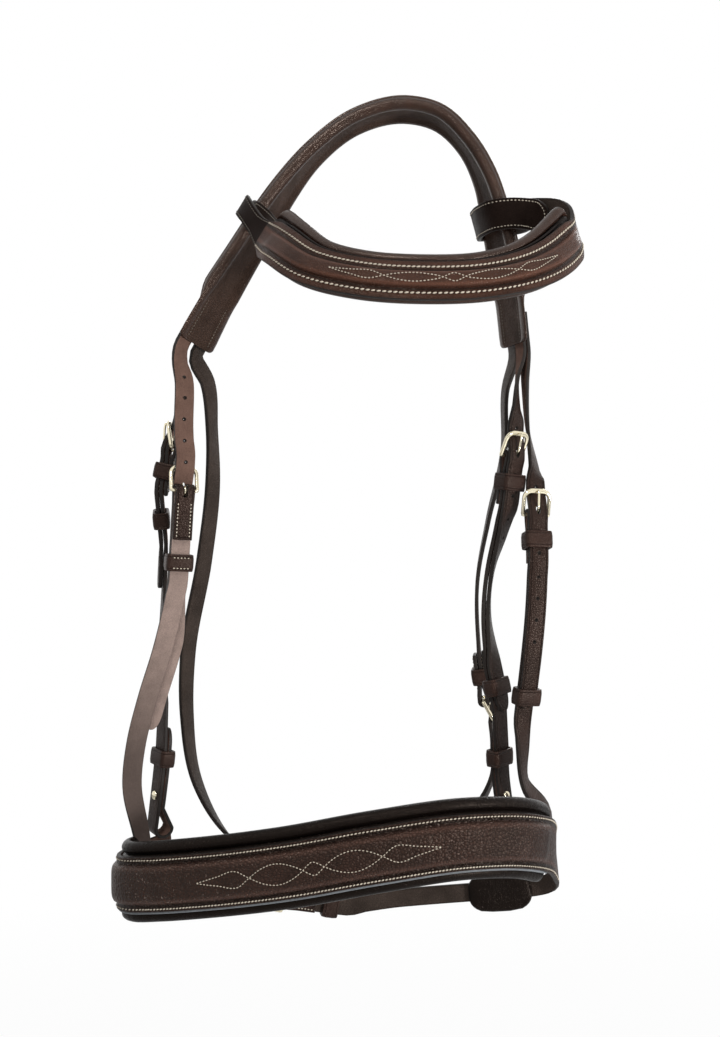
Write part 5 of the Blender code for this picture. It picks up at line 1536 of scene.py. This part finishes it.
def make_stud(node, run, s):
    """A hook stud turned about its own axis, with its cap outside and its head inside."""
    route = RUNS[run][0]
    outer = STRAP_THICK + FIT_GAP
    inner = -LAYER_GAP - STRAP_THICK - FIT_GAP
    cap, thick = STUD_CAP_RADIUS, STUD_CAP_THICK
    profile = [(outer + thick * rise, cap * wide) for rise, wide in STUD_CAP_ROWS]
    profile += [(outer, STUD_SHANK_RADIUS), (inner, STUD_SHANK_RADIUS)]
    profile += [(inner - thick * drop, cap * wide) for drop, wide in STUD_HEAD_ROWS]
    point, along, _, out = route.frame(s)
    bm = bmesh.new()
    line = [bm.verts.new(point + out * height + along * radius) for height, radius in profile]
    edges = [bm.edges.new(pair) for pair in zip(line[:-1], line[1:])]
    bmesh.ops.spin(bm, geom=line + edges, cent=point, axis=out, dvec=(0.0, 0.0, 0.0), angle=2 * math.pi,
                   steps=STUD_STEPS, use_merge=True)
    bmesh.ops.remove_doubles(bm, verts=bm.verts, dist=TINY * 5)
    return add_piece(f"cast_{node}", bm, ["metal"], stands_for=node)


# Pads

def pad_profile(width, thick, roll, proud=0.0):
    """A pad's section from its lining's middle, round both rolled edges, whose rolls may stand proud."""
    centre_t, centre_h = width / 2 - roll, thick - roll + proud
    found = [(0.0, 0.0)] + [(centre_t * share, 0.0) for share in PAD_FLAT_SHARES]
    found.append((centre_t - roll * PAD_LINING_REACH, min(centre_h - roll, 0.0) * PAD_LINING_SINK))
    for i in range(PAD_ROLL_STEPS + 1):
        turn = math.radians(PAD_ROLL_SWEEP * (i / PAD_ROLL_STEPS - 0.5))
        found.append((centre_t + roll * math.cos(turn), centre_h + roll * math.sin(turn)))
    inside, drop = PAD_VALLEY
    found.append((centre_t - roll * inside, thick - roll * drop))
    found.append((centre_t - roll * PAD_BACK_REACH, thick * PAD_BACK_SHARE))
    found += [(centre_t * share, thick) for share in PAD_FLAT_SHARES[::-1]]
    return found + [(0.0, thick)] + [(-t, h) for t, h in found[:0:-1]]


def make_pad(node, route, start, end, profile, squeeze, finishes,
             end_length=PAD_END_LENGTH, end_share=PAD_END_SHARE):
    """A padded band laid along its route, drawn in at its ends, with its rolls in the last finish."""
    middle = {s for s in spaced(start, end, FINE_STATION) if start + end_length < s < end - end_length}
    first = {start + end_length * share for share in PAD_END_ROWS}
    last = {end - end_length * share for share in PAD_END_ROWS}
    marks = sorted(middle | first | last | {start, end})
    around = [float(at) for at in run_lengths(np.array(profile))]
    rows, measures = [], []
    for s in marks:
        near = min(min(s - start, end - s) / end_length, 1.0)
        share = end_share + (1 - end_share) * math.sqrt(1 - (1 - near) ** 2)
        rows.append([route.place(s, t * share, squeeze(s, h, share)) for t, h in profile])
        measures.append([Vector((s, r, 1.0)) for r in around])
    bm = roll_sheet(rows, False, measures)
    flat = bm.verts.layers.float_vector["flat"]
    roll_start, roll_end = around[PAD_ROLL_FIRST], around[PAD_ROLL_FIRST + PAD_ROLL_STEPS + 1]
    total = around[-1] + around[1]
    for face in bm.faces:
        r = sum(vertex[flat].y for vertex in face.verts) / len(face.verts)
        if roll_start - TINY < min(r, total - r) < roll_end + TINY:
            face.material_index = len(finishes) - 1
    piece = add_piece(f"stuffed_{node}", bm, finishes, stands_for=node, sharp=60.0)
    return piece


def make_piping(name, route, start, end, across, height, finish_name):
    """A thin covered cord sewn in along a leather's edge."""
    rows = []
    for s in spaced(start, end, FINE_STATION):
        left = min(s - start, end - s) / FINE_STATION
        radius = PIPING_RADIUS * (1.0 if left > 1 else PIPING_END_SHARE)
        rows.append([route.place(s, across + radius * c, height + radius * d)
                     for c, d in circle(PIPING_SIDES)])
    return add_piece(name, roll_sheet(rows, False), [finish_name])


def chain(tip, crossings, heights):
    """The two threads of a chain of lenses: pairs of length along and height across."""
    outer, inner = crossings
    end, big, small = heights
    knots = [0.0, inner / 2] + [inner + (outer - inner) * i / 4 for i in range(5)]
    knots += [outer + (tip - outer) * share for share, _ in TIP_LENS] + [tip]
    shoulder = -big * BIG_LENS_SHOULDER
    values = [small, small * SMALL_LENS_SHOULDER, 0.0, shoulder, -big, shoulder, 0.0]
    values += [end * share for _, share in TIP_LENS] + [0.0]
    along = np.array([-k for k in knots[:0:-1]] + knots)
    across = np.array(values[:0:-1] + values)
    fine = np.linspace(along[0], along[-1], CHAIN_POINTS)
    return fine, hermite(along, across[:, None], fine)[:, 0]


# What a user may change

def length_choice(name, description, default, low, high):
    """A length a user may change."""
    return bpy.props.FloatProperty(name=name, description=description, default=default,
                                   min=low, max=high, unit="LENGTH")


class BridleSizes(bpy.types.PropertyGroup):
    """Sizes of the sewing and the soft finish."""
    bold_pitch: length_choice("Bold stitch pitch", "From one bold stitch to the next",
                              0.0030, 0.0015, 0.006)
    bold_length: length_choice("Bold stitch length", "Length of a stitch on the browband and noseband",
                               0.0026, 0.001, 0.005)
    bold_thick: length_choice("Bold thread thickness", "Thickness of the bold thread",
                              0.00122, 0.0004, 0.002)
    fine_pitch: length_choice("Fine stitch pitch", "From one fancy stitch to the next",
                              0.0021, 0.001, 0.004)
    fine_length: length_choice("Fine stitch length", "Length of a stitch in the lens chain",
                               0.0014, 0.0006, 0.003)
    fine_thick: length_choice("Fine thread thickness", "Thickness of the fine thread",
                              0.00070, 0.0003, 0.0012)
    strap_pitch: length_choice("Strap stitch pitch", "From one stitch to the next in a strap's fold",
                               0.0022, 0.001, 0.004)
    strap_length: length_choice("Strap stitch length", "Length of a stitch in a strap's fold",
                                0.0013, 0.0006, 0.003)
    strap_thick: length_choice("Strap thread thickness", "Thickness of the thread in a strap's fold",
                               0.0009, 0.0003, 0.0015)
    slant: bpy.props.FloatProperty(
        name="Stitch slant", description="How far each stitch leans from its row",
        default=math.radians(14.0), min=0.0, max=math.radians(40.0), subtype="ANGLE")
    pad_fill: bpy.props.FloatProperty(
        name="Pad fill", description="How tightly the pads are stuffed", default=0.8, min=0.0, max=1.0,
        subtype="FACTOR")


def tint(name, description, colour):
    """A colour a user may change."""
    return bpy.props.FloatVectorProperty(name=name, description=description, default=colour, size=3,
                                         min=0.0, max=1.0, subtype="COLOR")


class BridleColours(bpy.types.PropertyGroup):
    """Colours of the leathers, thread and metal."""
    strap: tint("Strap leather", "Grain side of the plain straps", (0.021, 0.0115, 0.0090))
    flesh: tint("Strap flesh", "Rough inner side of the plain straps", (0.130, 0.076, 0.058))
    # A paler copy of the strap flesh: painted sheen for the left noseband hanger and its billet's tail
    pale_flesh: tint("Pale strap flesh", "Rough inner side of the left noseband hanger",
                     (0.270, 0.200, 0.172))
    smooth_flesh: tint("Smooth strap flesh", "Pasted inner side of the throatlatch and chin strap",
                       (0.038, 0.028, 0.023))
    edge: tint("Strap edge", "Dressed edges of the straps", (0.022, 0.018, 0.016))
    front: tint("Browband leather", "Raised leather of the browband", (0.046, 0.019, 0.012))
    nose: tint("Noseband leather", "Raised leather of the noseband", (0.021, 0.0098, 0.0070))
    # The patches' colour is painted shade, far darker than the browband's leather
    patch: tint("Browband patches", "Sewn ends of the browband's loops", (0.009, 0.005, 0.004))
    # This pale grey-blue is a painted highlight, used only on the strip below the noseband leather
    panel_edge: tint("Panel edge", "Cut edges of the browband and noseband", (0.150, 0.160, 0.170))
    roll: tint("Rolled pads", "Soft leather of the browband and noseband pads", (0.0042, 0.0028, 0.0023))
    crown: tint("Headpiece leather", "Grain side of the headpiece", (0.036, 0.015, 0.009))
    lining: tint("Headpiece lining", "Soft lining of the headpiece", (0.044, 0.026, 0.019))
    keeper: tint("Keeper leather", "Loops that hold the strap ends", (0.020, 0.0095, 0.0072))
    thread: tint("Thread", "Sewing thread", (0.800, 0.700, 0.560))
    metal: tint("Buckle metal", "Buckles, prongs and hook studs", (0.900, 0.830, 0.640))


def nose_lift(u, across):
    """How far the noseband's padded panel stands up at a place."""
    along = smooth_step(min(u, NOSE.length - u), *(NOSE_SEAM_LENGTH * times for times in NOSE_SWELL))
    share = min(abs(across) / (NOSE_RAISE_WIDTH / 2), 1.0)
    return NOSE_RAISE * along * math.sqrt(max(0.0, 1 - share ** NOSE_RAISE_POWER))


def brow_lift(u, across):
    """How far the browband's padded middle stands up at a place."""
    along = smooth_step(min(u - BROW_FIRST, BROW_LAST - u), 0.0, BROW_LEATHER_WIDTH)
    share = min(abs(across) / (BROW_RAISE_WIDTH / 2), 1.0)
    return BROW_RAISE * along * math.sqrt(max(0.0, 1 - share ** BROW_RAISE_POWER))


def raised_columns(half, inner):
    """Places across a raised leather, closest together where the raise begins."""
    steps = [inner * share for share in RAISE_ROWS] + [inner + (half - inner) * OUTSIDE_ROW, half]
    return tuple(-step for step in steps[::-1]) + (0.0,) + tuple(steps)


class BRIDLE_OT_headpiece(bpy.types.Operator):
    """Make the headpiece: a soft lined pad with rolled edges under a flat leather"""
    bl_idname = "bridle.headpiece"
    bl_label = "Headpiece"

    def execute(self, context):
        sizes = context.scene.bridle_sizes
        profile = pad_profile(CROWN_WIDTH, CROWN_PAD_THICK, CROWN_ROLL_SHOWN, CROWN_ROLL_PROUD)
        pocket = CROWN_POCKET_LENGTH + POCKET_GAP

        def squeeze(s, h, _=1.0):
            swelled = smooth_step(min(s, CROWN.length - s), *(pocket * times for times in CROWN_SWELL))
            thin = CROWN_LINING_THICK + (CROWN_PAD_THICK - CROWN_LINING_THICK) * swelled
            return h * thin / CROWN_PAD_THICK

        def under(s):
            return squeeze(s, CROWN_PAD_THICK) + LAYER_GAP

        make_pad("crown_pad", CROWN, 0.0, CROWN.length, profile, squeeze,
                 ["lining_grain", "front_roll_grain"])
        end = CROWN_POCKET_LENGTH + FIT_GAP
        lay = Lay([(s, under(s)) for s in spaced(end, CROWN.length - end, FINE_STATION)])
        half = CROWN_COVER_WIDTH / 2
        bm = cut_strap(lay, (-half, -half / 2, 0.0, half / 2, half), plain)
        thicken(bm, CROWN_COVER_THICK, plain, half, CROWN_COVER_THICK * COVER_ROUND_SHARE)
        for vertex in bm.verts:
            skived = smooth_step(min(vertex.co.x, lay.length - vertex.co.x), 0.0, COVER_SKIVE_LENGTH)
            vertex.co.z *= COVER_SKIVE_SHARE + (1 - COVER_SKIVE_SHARE) * skived
        lay_down(bm, lay, CROWN)
        add_piece("cut_crown_leather", bm, ["crown_grain", "strap_flesh", "front_roll_grain"],
                  stands_for="crown_leather")
        bm = bmesh.new()
        for side in (-1, 1):
            row = side * (half - COVER_ROW_INSET)
            skive = end + COVER_SKIVE_LENGTH
            sew(bm, CROWN, [(skive, row), (CROWN.length - skive, row)],
                lambda s, t: under(s) + CROWN_COVER_THICK, *stitches("fine"), sizes.slant)
        add_smooth("sewn_headpiece", bm, ["thread"])
        bm = bmesh.new()
        for side in (-1, 1):
            row = side * (CROWN_WIDTH / 2 - CROWN_ROLL_SHOWN * LINING_ROW_SHARE)
            sew(bm, CROWN, [(ROW_END, row), (CROWN.length - ROW_END, row)], lambda s, t: 0.0,
                *stitches("fine"), facing_out=-1)
        add_smooth("sewn_lining", bm, ["soiled_thread"])
        return {"FINISHED"}


class BRIDLE_OT_browband(bpy.types.Operator):
    """Make the browband: a raised leather looped round the headpiece at each end, on a rolled pad"""
    bl_idname = "bridle.browband"
    bl_label = "Browband"

    def execute(self, context):
        sizes = context.scene.bridle_sizes
        path = spaced(0.0, BROW.length, FRONT_STATION)
        lay = Lay(with_tip_rows(with_tip_rows([(s, 0.0) for s in path], False, True), True, False))
        half, inner = BROW_LEATHER_WIDTH / 2, BROW_RAISE_WIDTH / 2 * BROW_LEATHER_WIDTH / BROW_FRONT_WIDTH
        tips = tip_width(lay.length, True, True)

        def share(u):
            wide = smooth_step(min(u - BROW_FIRST, BROW_LAST - u), 0.0, BROW_WIDEN_LENGTH)
            loop = BROW_LEFT_LOOP_SHARE + (1 - BROW_LEFT_LOOP_SHARE) * smooth_step(
                u, BROW_FIRST - BROW_WIDEN_LENGTH, BROW_FIRST + BROW_WIDEN_LENGTH / 2)
            return tips(u) * loop * (1 + (BROW_FRONT_WIDTH / BROW_LEATHER_WIDTH - 1) * wide)

        bm = cut_strap(lay, raised_columns(half, inner), share)
        thicken(bm, BROW_LEATHER_THICK, share, half, EDGE_ROUND)
        flat = bm.verts.layers.float_vector["flat"]
        # Grain faces on the sewn loop ends, past the browband's front, take the patches' painted shade
        for face in bm.faces:
            u = sum(vertex[flat].x for vertex in face.verts) / len(face.verts)
            if face.material_index == 0 and not BROW_FIRST < u < BROW_LAST:
                face.material_index = 3
        lay_down(bm, lay, BROW, raised=brow_lift)
        add_piece("cut_browband_leather", bm, ["front_grain", "smooth_flesh", "strap_edge", "patch_grain"],
                  stands_for="browband_leather")

        base = -BROW_PAD_THICK - POCKET_GAP
        profile = [(t + BROW_PAD_RISE, base + h) for t, h in
                   pad_profile(BROW_PAD_WIDTH, BROW_PAD_THICK, BROW_ROLL_RADIUS)]
        make_pad("browband_pad", BROW, BROW_FIRST, BROW_LAST, profile,
                 lambda s, h, share: -POCKET_GAP + (h + POCKET_GAP) * share,
                 ["roll_grain", "front_roll_grain"])

        inset = BROW_WIDEN_LENGTH
        make_piping("browband_piping", BROW, BROW_FIRST + inset, BROW_LAST - inset,
                    BROW_FRONT_WIDTH / 2 + PIPING_RADIUS * BROW_PIPING_REACH, -POCKET_GAP / 2, "roll_grain")

        bm = bmesh.new()

        def top(s, t):
            return BROW_LEATHER_THICK + brow_lift(s, t)

        narrow = BROW_LEATHER_WIDTH / 2 - PATCH_ROW_INSET
        for side in (-1, 1):
            row = side * BROW_ROW_PLACE
            sew(bm, BROW, [(BROW_FIRST, side * narrow), (BROW_FIRST + inset, row), (BROW_LAST - inset, row),
                           (BROW_LAST, side * narrow)],
                top, *stitches("bold"), sizes.slant)
        middle = BROW.nearest(share_place(BROW_MIDDLE_SHARES))
        along, across = chain(CHAIN_TIP, CHAIN_CROSSINGS, BROW_CHAIN_HEIGHTS)
        for flip in (-1, 1):
            sew(bm, BROW, list(zip(middle + along, across * flip)), top, *stitches("fine"))
        left_patch = bmesh.new()
        for start, end, patch, wide in ((0.0, BROW_FIRST, left_patch, BROW_LEFT_LOOP_SHARE),
                                        (BROW.length, BROW_LAST, bm, 1.0)):
            sign = 1 if end > start else -1
            reach, neck = half * wide - PATCH_ROW_INSET, end - sign * BROW_WIDEN_LENGTH
            outline = []
            for i in range(PATCH_STEPS + 1):
                turn = math.pi * (i / PATCH_STEPS - 0.5)
                outline.append((start + sign * (PATCH_ROW_INSET + reach * (1 - math.cos(turn))),
                                reach * math.sin(turn)))
            rows = [(end, -narrow), (neck, -reach)] + outline + [(neck, reach), (end, narrow)]
            sew(patch, BROW, rows, top, *stitches("fine"))
        add_smooth("sewn_browband", bm, ["thread"])
        add_smooth("sewn_left_patch", left_patch, ["soiled_thread"])
        return {"FINISHED"}


class BRIDLE_OT_noseband(bpy.types.Operator):
    """Make the noseband: a wide raised leather on a pad with a roll above and below"""
    bl_idname = "bridle.noseband"
    bl_label = "Noseband"

    def execute(self, context):
        sizes = context.scene.bridle_sizes
        base = NOSE_PAD_THICK + LAYER_GAP
        half, inner = NOSE_LEATHER_WIDTH / 2, NOSE_RAISE_WIDTH / 2
        lay = Lay([(s, base) for s in spaced(0.0, NOSE.length, FRONT_STATION)])
        bm = cut_strap(lay, raised_columns(half, inner), plain)
        thicken(bm, NOSE_LEATHER_THICK, plain, half, EDGE_ROUND)
        lay_down(bm, lay, NOSE, drift=lambda s: NOSE_LEATHER_SHIFT, raised=nose_lift)
        add_piece("cut_noseband_leather", bm, ["nose_grain", "strap_flesh", "strap_edge"],
                  stands_for="noseband_leather")

        start = NOSE_SEAM_LENGTH + STRAP_WIDTH + KEEPER_SLACK * 3
        profile = [(t + NOSE_PAD_RISE, h) for t, h in
                   pad_profile(NOSE_PAD_WIDTH, NOSE_PAD_THICK, NOSE_ROLL_RADIUS)]
        make_pad("noseband_pad", NOSE, start, NOSE.length - start, profile,
                 lambda s, h, share: NOSE_PAD_THICK - (NOSE_PAD_THICK - h) * share, ["roll_grain"])

        # A thin strip under the noseband leather's lower edge, whose pale colour is a painted highlight
        make_piping("noseband_liner_edge", NOSE, start, NOSE.length - start,
                    NOSE_LEATHER_SHIFT - half - PIPING_RADIUS * NOSE_PIPING_REACH,
                    base + PIPING_RADIUS * NOSE_PIPING_HEIGHT, "panel_edge")

        bm = bmesh.new()

        def top(s, t):
            return base + NOSE_LEATHER_THICK + nose_lift(s, t - NOSE_LEATHER_SHIFT)

        pitch, length, thick = stitches("bold")
        for row in (NOSE_LEATHER_SHIFT - NOSE_ROW_PLACE, NOSE_LEATHER_SHIFT + NOSE_ROW_PLACE):
            sew(bm, NOSE, [(ROW_END, row), (NOSE.length - ROW_END, row)], top, pitch * NOSE_STITCH_SHARE,
                length * NOSE_STITCH_SHARE, thick * NOSE_THREAD_SHARE, sizes.slant)
        middle = NOSE.nearest(share_place(NOSE_MIDDLE_SHARES))
        along, across = chain(CHAIN_TIP, CHAIN_CROSSINGS, NOSE_CHAIN_HEIGHTS)
        for flip in (-1, 1):
            points = list(zip(middle + along, NOSE_LEATHER_SHIFT + across * flip))
            sew(bm, NOSE, points, top, *stitches("fine"))
        add_smooth("sewn_noseband", bm, ["thread"])
        return {"FINISHED"}


class BRIDLE_OT_billets(bpy.types.Operator):
    """Cut the billets: the holed, pointed straps that pass through the buckles"""
    bl_idname = "bridle.billets"
    bl_label = "Billets"

    def execute(self, context):
        bar = RUNS["nose_left"][1]

        def drift(s):
            return -NOSE_LEFT_DRIFT * smooth_step(s, bar + NOSE_LEFT_KEEPER_PLACE + KEEPER_WIDTH,
                                                  bar + NOSE_LEFT_KEEPER_PLACE + KEEPER_WIDTH * 5)

        make_billet("cheek_left_billet", "cheek_left", CHEEK_LEFT_TAIL, 3, 3)
        make_billet("cheek_right_billet", "cheek_right", CHEEK_RIGHT_TAIL, 2, 6)
        # The billet's tail takes the flesh with the painted sheen
        make_billet("nose_left_billet", "nose_left", NOSE_LEFT_TAIL, 5, 3, drift, tail_flesh="pale_flesh")
        make_billet("nose_right_billet", "nose_right", NOSE_RIGHT_TAIL, 1, 6)
        make_billet("throatlatch", "throat", THROAT_TAIL, 4, 0, flesh="smooth_flesh")
        make_billet("chin_billet", "chin", CHIN_TAIL, 2, 1, flesh="smooth_flesh")
        return {"FINISHED"}


class BRIDLE_OT_straps(bpy.types.Operator):
    """Cut the straps folded round the buckles, and sew their folds"""
    bl_idname = "bridle.straps"
    bl_label = "Buckled straps"

    def execute(self, context):
        make_cheekpiece("cheek_left_strap", "cheek_left")
        make_cheekpiece("cheek_right_strap", "cheek_right")
        # The hanger's flesh carries the painted sheen and grows darker towards its noseband end
        make_folded_strap("nose_left_hanger", "nose_left", flesh="stained_flesh")
        make_folded_strap("nose_right_hanger", "nose_right")
        make_folded_strap("throat_strap", "throat", flesh="smooth_flesh")
        make_folded_strap("chin_strap", "chin", CHIN_FOLD_LENGTH, flesh="smooth_flesh")
        bm = bmesh.new()
        for run, (route, bar) in RUNS.items():
            first = bar + BILLET_REST * FOLD_ROW_START_SHARE
            fold = CHIN_FOLD_LENGTH if run == "chin" else FOLD_LENGTH
            last = bar + fold - ROW_END * FOLD_ROW_END_SHARE
            for side in (-1, 1):
                row = side * (STRAP_WIDTH / 2 - FOLD_ROW_INSET)
                for height, facing_out in ((STRAP_THICK, 1), (STACK_LOW, -1)):
                    sew(bm, route, [(first, row), (last, row)], lambda s, t, height=height: height,
                        *stitches("strap"), facing_out=facing_out)
        add_smooth("sewn_folds", bm, ["thread"])
        return {"FINISHED"}


class BRIDLE_OT_chin_pad(bpy.types.Operator):
    """Make the soft pad inside the chin strap"""
    bl_idname = "bridle.chin_pad"
    bl_label = "Chin pad"

    def execute(self, context):
        route = RUNS["chin"][0]
        start, end = (route.length * share for share in CHIN_PAD_PLACE_SHARES)
        start, end = start + CHIN_PAD_TRIM, end + CHIN_PAD_TRIM / 2
        base = -CHIN_PAD_THICK - LAYER_GAP
        profile = [(t, base + h) for t, h in
                   pad_profile(CHIN_PAD_WIDTH, CHIN_PAD_THICK, CHIN_PAD_ROLL_RADIUS)]
        make_pad("chin_pad", route, start, end, profile,
                 lambda s, h, share: -LAYER_GAP + (h + LAYER_GAP) * share, ["roll_grain"],
                 CHIN_PAD_END_LENGTH, CHIN_PAD_END_SHARE)
        return {"FINISHED"}


class BRIDLE_OT_keepers(bpy.types.Operator):
    """Make the keepers and runners: leather loops that hold the strap ends down"""
    bl_idname = "bridle.keepers"
    bl_label = "Keepers"

    def execute(self, context):
        for run in ("cheek_left", "cheek_right", "nose_right", "throat"):
            make_keeper(f"{run}_keeper", run, RUNS[run][1] + FIRST_KEEPER_PLACE, STACK_LOW, STRAP_WIDTH)
        make_keeper("nose_left_keeper", "nose_left", RUNS["nose_left"][1] + NOSE_LEFT_KEEPER_PLACE, 0.0,
                    STRAP_WIDTH)
        for run, place in RUNNER_PLACES:
            make_keeper(f"{run}_runner", run, RUNS[run][1] + place, 0.0, STRAP_WIDTH, body=f"{run}_runner")
        for side in ("left", "right"):
            route = RUNS[f"cheek_{side}"][0]
            make_keeper(f"bit_{side}_keeper", f"cheek_{side}", route.length - BIT_KEEPER_PLACE, STACK_LOW,
                        STRAP_WIDTH, high=STRAP_THICK)
        bm = bmesh.new()
        route, bar = RUNS["nose_left"]
        inner_face = -KEEPER_GAP * 2 - KEEPER_THICK - KEEPER_FULL * KEEPER_ROW_SINK
        reach = STRAP_WIDTH / 2 - KEEPER_GAP
        for side in (-1, 1):
            s = bar + NOSE_LEFT_KEEPER_PLACE + side * (KEEPER_WIDTH / 2 - KEEPER_ROW_INSET)
            sew(bm, route, [(s, -reach), (s, reach)], lambda s, t: inner_face, *stitches("strap"),
                facing_out=-1)
        add_smooth("sewn_keeper", bm, ["thread"])
        return {"FINISHED"}


class BRIDLE_OT_metalwork(bpy.types.Operator):
    """Make the buckles, their prongs and the hook studs"""
    bl_idname = "bridle.metalwork"
    bl_label = "Buckles and studs"

    def execute(self, context):
        for run in RUNS:
            make_buckle(run)
            make_prong(run)
        for side in ("left", "right"):
            route = RUNS[f"cheek_{side}"][0]
            make_stud(f"bit_{side}_stud", f"cheek_{side}", route.length - STUD_PLACE)
        return {"FINISHED"}


class BRIDLE_OT_stage(bpy.types.Operator):
    """Set the pale floor, the soft lamps and the camera"""
    bl_idname = "bridle.stage"
    bl_label = "Stage"

    def execute(self, context):
        scene = context.scene
        bm = bmesh.new()
        bmesh.ops.create_circle(bm, cap_ends=True, segments=64, radius=FLOOR_RADIUS)
        bmesh.ops.translate(bm, verts=bm.verts, vec=(0.0, 0.0, FLOOR_HEIGHT))
        floor = add_to_scene("floor", to_mesh("floor", bm))
        floor.data.materials.append(self.floor_finish())
        self.set_world(scene)
        for name, place, size, power in LAMPS:
            lamp = bpy.data.lights.new(name, "AREA")
            lamp.shape, lamp.size, lamp.energy = "DISK", size, power
            holder = add_to_scene(name, lamp)
            holder.location = place
            aim = Vector((CAMERA_PLACE[0], 0.0, CAMERA_PLACE[2])) - Vector(place)
            holder.rotation_euler = aim.to_track_quat("-Z", "Y").to_euler()
        lens = bpy.data.cameras.new("photo_camera")
        lens.lens, lens.sensor_width, lens.sensor_fit = CAMERA_LENS, CAMERA_SENSOR, "AUTO"
        camera = add_to_scene("photo_camera", lens)
        camera.location = CAMERA_PLACE
        camera.rotation_euler = (math.pi / 2, 0.0, 0.0)
        scene.camera = camera
        scene.view_settings.view_transform = "Standard"
        return {"FINISHED"}

    @staticmethod
    def floor_finish():
        """A pale floor that the camera sees as white, more so the further it is from the bridle."""
        made = bpy.data.materials.new("floor")
        tree = empty_tree(made)
        where = tree.node("ShaderNodeTexCoord").outputs["Object"]
        dust = tree.noise(where, 3.0, 4.0)
        tone = tree.mix(dust, *((level, level, level) for level in FLOOR_TONES))
        ground = tree.node("ShaderNodeBsdfPrincipled", {"Base Color": tone, "Roughness": 0.8})
        glow = tree.node("ShaderNodeEmission", {"Color": (1.0, 1.0, 1.0, 1.0), "Strength": 1.0})
        path = tree.node("ShaderNodeLightPath").outputs
        away = tree.node("ShaderNodeVectorMath", {0: where}, operation="LENGTH").outputs["Value"]
        glow_share = tree.stretch(away, FLOOR_NEAR, FLOOR_FAR, FLOOR_GLOW, 1.0)
        seen = tree.math("MULTIPLY", path["Is Camera Ray"], glow_share)
        both = tree.node("ShaderNodeMixShader", {0: seen, 1: ground.outputs[0], 2: glow.outputs[0]})
        tree.node("ShaderNodeOutputMaterial", {"Surface": both.outputs[0]})
        return made

    @staticmethod
    def set_world(scene):
        """A room that looks white and lights the bridle more softly than it looks."""
        world = bpy.data.worlds.new("pale_room")
        scene.world = world
        tree = empty_tree(world)
        path = tree.node("ShaderNodeLightPath").outputs
        seen = tree.math("MAXIMUM", path["Is Camera Ray"], path["Is Glossy Ray"])
        seen = tree.math("MAXIMUM", seen, path["Is Transmission Ray"])
        strength = tree.stretch(seen, 0.0, 1.0, ROOM_LIGHT, 1.0)
        back = tree.node("ShaderNodeBackground", {"Color": (1.0, 1.0, 1.0, 1.0), "Strength": strength})
        tree.node("ShaderNodeOutputWorld", {"Surface": back.outputs[0]})


class BRIDLE_PT_panel(bpy.types.Panel):
    """The bridle's panel in the 3D view's sidebar"""
    bl_idname = "BRIDLE_PT_panel"
    bl_label = "Hunter bridle"
    bl_space_type = "VIEW_3D"
    bl_region_type = "UI"
    bl_category = "Bridle"

    def draw(self, context):
        column = self.layout.column()
        for group in (context.scene.bridle_sizes, context.scene.bridle_colours):
            for label in group.__annotations__:
                column.prop(group, label)
        for operator in OPERATORS:
            column.operator(operator.bl_idname)


OPERATORS = (BRIDLE_OT_headpiece, BRIDLE_OT_browband, BRIDLE_OT_noseband, BRIDLE_OT_billets,
             BRIDLE_OT_straps, BRIDLE_OT_chin_pad, BRIDLE_OT_keepers, BRIDLE_OT_metalwork, BRIDLE_OT_stage)
CLASSES = (BridleSizes, BridleColours) + OPERATORS + (BRIDLE_PT_panel,)


def register():
    for cls in CLASSES:
        bpy.utils.register_class(cls)
    bpy.types.Scene.bridle_sizes = bpy.props.PointerProperty(type=BridleSizes)
    bpy.types.Scene.bridle_colours = bpy.props.PointerProperty(type=BridleColours)


def unregister():
    del bpy.types.Scene.bridle_colours
    del bpy.types.Scene.bridle_sizes
    for cls in reversed(CLASSES):
        bpy.utils.unregister_class(cls)


def main():
    register()
    for operator in OPERATORS:
        group, action = operator.bl_idname.split(".")
        getattr(getattr(bpy.ops, group), action)()


if __name__ == "__main__":
    main()
